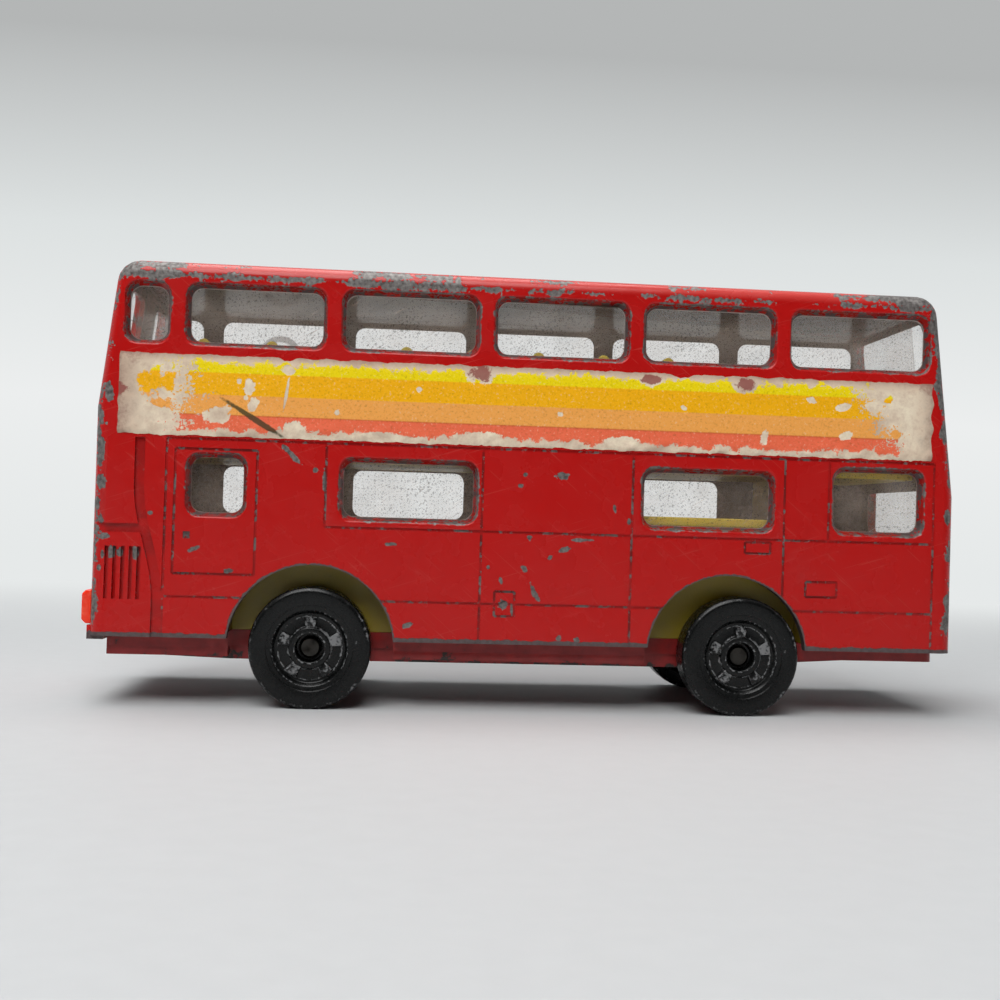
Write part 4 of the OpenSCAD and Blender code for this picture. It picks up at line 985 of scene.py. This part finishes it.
class TOYBUS_OT_wheels(bpy.types.Operator):
    """Turn the four wheels and give them scuffed black plastic"""

    bl_idname = "toybus.wheels"
    bl_label = "Wheels"

    def execute(self, context):
        look = context.scene.toy_bus.wheels
        low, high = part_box("wheel_rear_right")
        material = wheel_styrene(look, BLOCK_TOP + HUB_BOSS - (high.y - low.y) / MM / 2)
        outline = filleted(wheel_outline(), look.edge_round / MM)
        for end in ("rear", "front"):
            for hand, outward in (("right", -1.0), ("left", 1.0)):
                low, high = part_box(f"wheel_{end}_{hand}")
                middle = (low + high) / 2
                inner_face = (high.y if outward < 0 else low.y) + outward * HUB_BOSS * MM
                made = bmesh.new()
                self.turn(made, outline, look.turns)
                for block in range(5):
                    self.block(made, math.radians(90 + block * 72), look.edge_round)
                rise = inner_face - middle.y
                stand = Matrix(((1, 0, 0, 0), (0, 0, outward, rise), (0, 1, 0, 0), (0, 0, 0, 1)))
                bmesh.ops.transform(made, matrix=stand, verts=made.verts)
                bmesh.ops.recalc_face_normals(made, faces=made.faces)
                name = f"wheel_{end}_{hand}"
                place_piece(made, f"{name}_turned", name, material, [name], at=middle)
        return {"FINISHED"}

    def turn(self, made, outline, turns):
        """Spins the outline about the axle, along local Z."""
        rings = []
        for i in range(turns):
            a = 2 * math.pi * i / turns
            points = [(p.x * MM * math.cos(a), p.x * MM * math.sin(a), p.y * MM) for p in outline]
            rings.append([made.verts.new(point) for point in points])
        for i, ring in enumerate(rings):
            after = rings[(i + 1) % turns]
            for j in range(len(outline)):
                k = (j + 1) % len(outline)
                made.faces.new((ring[j], after[j], after[k], ring[k]))

    def block(self, made, angle, edge_round):
        """One raised block between the hub and the rim, a little narrower at the top."""
        half, steps = math.radians(14), 6
        levels = ((2.8, 1.0), (BLOCK_TOP, 0.88))
        rows = []
        for height, share in levels:
            row = []
            for radius, order in ((1.68, 1), (2.8 - (1 - share) * 0.6, -1)):
                for i in range(steps + 1):
                    a = angle + order * half * share * (2 * i / steps - 1)
                    point = (radius * MM * math.cos(a), radius * MM * math.sin(a), height * MM)
                    row.append(made.verts.new(point))
            rows.append(row)
        faces = [made.faces.new(rows[0]), made.faces.new(list(reversed(rows[1])))]
        for i in range(len(rows[0])):
            k = (i + 1) % len(rows[0])
            faces.append(made.faces.new((rows[0][k], rows[0][i], rows[1][i], rows[1][k])))
        bmesh.ops.recalc_face_normals(made, faces=faces)
        edges = {e for f in faces for e in f.edges}
        ease(made, [e for e in edges if e.calc_face_angle(0.0) > math.radians(30)], edge_round * 0.8, 2)


class TOYBUS_OT_labels(bpy.types.Operator):
    """Lay the two worn paper labels on the sides"""

    bl_idname = "toybus.labels"
    bl_label = "Side labels"

    def execute(self, context):
        look = context.scene.toy_bus.labels
        low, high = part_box("label_right")
        material = worn_print(look, low.z / MM, high.z / MM)
        for hand, outward in (("right", -1.0), ("left", 1.0)):
            low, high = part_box(f"label_{hand}")
            made = bmesh.new()
            self.sheet(made, low, high, outward, look)
            bmesh.ops.recalc_face_normals(made, faces=made.faces)
            place_piece(made, f"label_{hand}_paper", "bus", material,
                        [f"label_{hand}"], smooth=50.0)
        return {"FINISHED"}

    def sheet(self, made, low, high, outward, look):
        """A torn sheet with thickness: its outline wanders, tears dip into it and fibre rolls up below."""
        columns, rows = 300, 30
        # Tears in the upper edge, as X, half width and depth
        tears = ((-12.0, 1.2, 0.9), (21.0, 0.9, 0.7))
        if outward < 0:
            tears = ((-21.9, 0.5, 0.25), (12.6, 0.9, 0.3))
        wall = outward * HALF_WIDTH * MM
        front, back = [], []
        for i in range(columns + 1):
            u = i / columns
            x = low.x + (high.x - low.x) * u
            along = Vector((x / MM, outward * 40.0, 0.0))
            here = x / MM - CASTING_MIDDLE
            dip = sum(depth * math.exp(-((here - at) / width) ** 4) for at, width, depth in tears)
            wander = 0.5 + noise.noise(along * 0.8) + 0.6 * noise.noise(along * 2.7)
            upper = high.z - look.tear * wander - dip * MM
            wander = 0.4 + noise.noise(along * 0.7 + Vector((9, 0, 0))) + 0.6 * noise.noise(along * 3.1)
            lower = low.z + look.tear * wander
            front.append([])
            back.append([])
            for j in range(rows + 1):
                v = j / rows
                z = lower + (upper - lower) * v
                spot = Vector((x / MM, outward * 40.0, z / MM))
                end = min(u, 1 - u)
                frayed = noise.noise(Vector((spot.z * 0.9, spot.y, u * 3)))
                shift = look.tear * 1.5 * frayed * max(0.0, 1 - end * 40)
                edge = min(u * 100, (1 - u) * 100, v * 10, (1 - v) * 10, 1.0)
                rolled = max(0.0, 1 - v * 5) * max(0.0, noise.noise(spot * 1.3) + 0.25) * look.lift * 1.6
                dents = 0.03 * MM * noise.noise(spot * 0.6)
                thick = 0.03 * MM + 0.08 * MM * edge + rolled * min(1.0, v * 20 + 0.2) + dents
                front[-1].append(made.verts.new((x + shift, wall + outward * max(thick, 0.02 * MM), z)))
                back[-1].append(made.verts.new((x + shift, wall - outward * 0.02 * MM, z)))
        for i in range(columns):
            for j in range(rows):
                made.faces.new((front[i][j], front[i + 1][j], front[i + 1][j + 1], front[i][j + 1]))
                made.faces.new((back[i][j], back[i][j + 1], back[i + 1][j + 1], back[i + 1][j]))
        for j in range(rows):
            made.faces.new((front[0][j], front[0][j + 1], back[0][j + 1], back[0][j]))
            made.faces.new((front[-1][j + 1], front[-1][j], back[-1][j], back[-1][j + 1]))
        for i in range(columns):
            made.faces.new((front[i + 1][0], front[i][0], back[i][0], back[i + 1][0]))
            made.faces.new((front[i][-1], front[i + 1][-1], back[i + 1][-1], back[i][-1]))


class TOYBUS_OT_lamps(bpy.types.Operator):
    """Round the tail lamps' edges and give them glossy orange plastic"""

    bl_idname = "toybus.lamps"
    bl_label = "Tail lamps"

    def execute(self, context):
        look = context.scene.toy_bus.lamps
        material = lamp_acrylic(look)
        for hand in ("right", "left"):
            made = node_mesh(f"tail_lamp_{hand}")
            ease(made, sharp_edges(made), look.edge_round, 3)
            place_piece(made, f"lamp_{hand}", "bus", material, [f"tail_lamp_{hand}"])
        return {"FINISHED"}


class TOYBUS_OT_stage(bpy.types.Operator):
    """Set up the floor, the light and the camera"""

    bl_idname = "toybus.stage"
    bl_label = "Stage"

    def execute(self, context):
        look = context.scene.toy_bus.stage
        scene = context.scene
        self.sweep(look)
        world = bpy.data.worlds.new("Soft room light")
        world.use_nodes = True
        tree = world.node_tree
        tree.nodes.clear()
        # The room is dark behind the camera and pale beyond the backdrop
        ahead = add(tree, SPLIT, add(tree, "ShaderNodeTexCoord", out="Generated"), out="Y")
        strength = add(tree, RANGE, ahead, -0.6, 0.8, look.sky * 0.15, look.sky)
        pale = add(tree, RANGE, ahead, -0.6, 0.0, look.sky * 0.15, 0.75)
        strength = add(tree, MIX, {0: shown(tree), 2: strength, 3: pale}, data_type="FLOAT")
        sky = add(tree, "ShaderNodeBackground", {"Color": colour("#f4f6f8"), "Strength": strength})
        add(tree, "ShaderNodeOutputWorld", {"Surface": sky})
        scene.world = world
        self.light("Overhead light", (-0.08, 0.04, 0.42), (0.0, 0.0, 0.0), 0.3, look.key_power)
        self.light("Front light", (-0.1, -0.34, 0.42), (0.0, 0.0, 0.02), 0.35, look.fill_power)
        self.camera(scene)
        scene.view_settings.view_transform = "Standard"
        return {"FINISHED"}

    def sweep(self, look):
        """A floor that curves up into a backdrop."""
        made = bmesh.new()
        start, radius, height = 0.45, 0.25, 1.4
        turns = [math.radians(a) for a in range(0, 91, 6)]
        bend = [(start + radius * math.sin(a), radius - radius * math.cos(a)) for a in turns]
        path = [(-start, 0.0), (-0.2, 0.0), (0.2, 0.0), *bend, (start + radius, height)]
        rows = [[made.verts.new((x, y, z)) for x in (-2.0, -0.7, 0.0, 0.7, 2.0)] for y, z in path]
        for row, after in zip(rows, rows[1:]):
            for i in range(len(row) - 1):
                made.faces.new((row[i], row[i + 1], after[i + 1], after[i]))
        mesh = bpy.data.meshes.new("studio_sweep")
        made.to_mesh(mesh)
        made.free()
        mesh.polygons.foreach_set("use_smooth", [True] * len(mesh.polygons))
        mesh.materials.append(studio_card(look))
        floor = bpy.data.objects.new("studio_sweep", mesh)
        bpy.context.scene.collection.objects.link(floor)

    def light(self, name, place, target, size, power):
        """One soft square light, aimed at a point."""
        data = bpy.data.lights.new(name, "AREA")
        data.energy = power
        data.size = size
        lamp = bpy.data.objects.new(name, data)
        lamp.location = place
        lamp.rotation_euler = (Vector(target) - lamp.location).to_track_quat("-Z", "Y").to_euler()
        bpy.context.scene.collection.objects.link(lamp)

    def camera(self, scene):
        """The photograph's viewpoint, worked out from the window rows: right side on, a little tilted."""
        yaw, pitch, roll = 0.098053, 0.016592, -0.029754
        ahead = Vector((math.sin(yaw) * math.cos(pitch), math.cos(yaw) * math.cos(pitch), math.sin(pitch)))
        level = Vector((math.cos(yaw), -math.sin(yaw), 0.0))
        above = level.cross(ahead)
        right = math.cos(roll) * level - math.sin(roll) * above
        up = math.sin(roll) * level + math.cos(roll) * above
        data = bpy.data.cameras.new("Camera")
        data.sensor_width = 36.0
        data.lens = 50.17
        data.shift_x = -0.045
        data.clip_start = 0.005
        data.dof.use_dof = False
        camera = bpy.data.objects.new("Camera", data)
        turn = Matrix((right, up, -ahead)).transposed().to_4x4()
        spot = Vector((CASTING_MIDDLE - 11.276, -133.22, 16.607)) * MM
        camera.matrix_world = Matrix.Translation(spot) @ turn
        scene.collection.objects.link(camera)
        scene.camera = camera


OPERATORS = (
    TOYBUS_OT_casting, TOYBUS_OT_base, TOYBUS_OT_glazing, TOYBUS_OT_seats, TOYBUS_OT_axles, TOYBUS_OT_wheels,
    TOYBUS_OT_labels, TOYBUS_OT_lamps, TOYBUS_OT_stage,
)


class TOYBUS_PT_panel(bpy.types.Panel):
    """Lists the pieces in the sidebar."""

    bl_idname = "TOYBUS_PT_panel"
    bl_label = "Toy bus"
    bl_space_type = "VIEW_3D"
    bl_region_type = "UI"
    bl_category = "Toy bus"

    def draw(self, context):
        for operator in OPERATORS:
            self.layout.operator(operator.bl_idname)


CLASSES = (
    CastingLook, GlazingLook, SeatLook, WheelLook, LabelLook, LampLook, StageLook, ToyBusSettings,
    *OPERATORS, TOYBUS_PT_panel,
)


def register():
    """Registers the classes and the settings."""
    for made in CLASSES:
        bpy.utils.register_class(made)
    bpy.types.Scene.toy_bus = bpy.props.PointerProperty(type=ToyBusSettings)


def unregister():
    """Takes the settings and the classes out again."""
    del bpy.types.Scene.toy_bus
    for made in reversed(CLASSES):
        bpy.utils.unregister_class(made)


def main():
    """Builds every piece in order."""
    register()
    for step in (bpy.ops.toybus.casting, bpy.ops.toybus.base, bpy.ops.toybus.glazing, bpy.ops.toybus.seats,
                 bpy.ops.toybus.axles, bpy.ops.toybus.wheels, bpy.ops.toybus.labels, bpy.ops.toybus.lamps,
                 bpy.ops.toybus.stage):
        step()


if __name__ == "__main__":
    main()
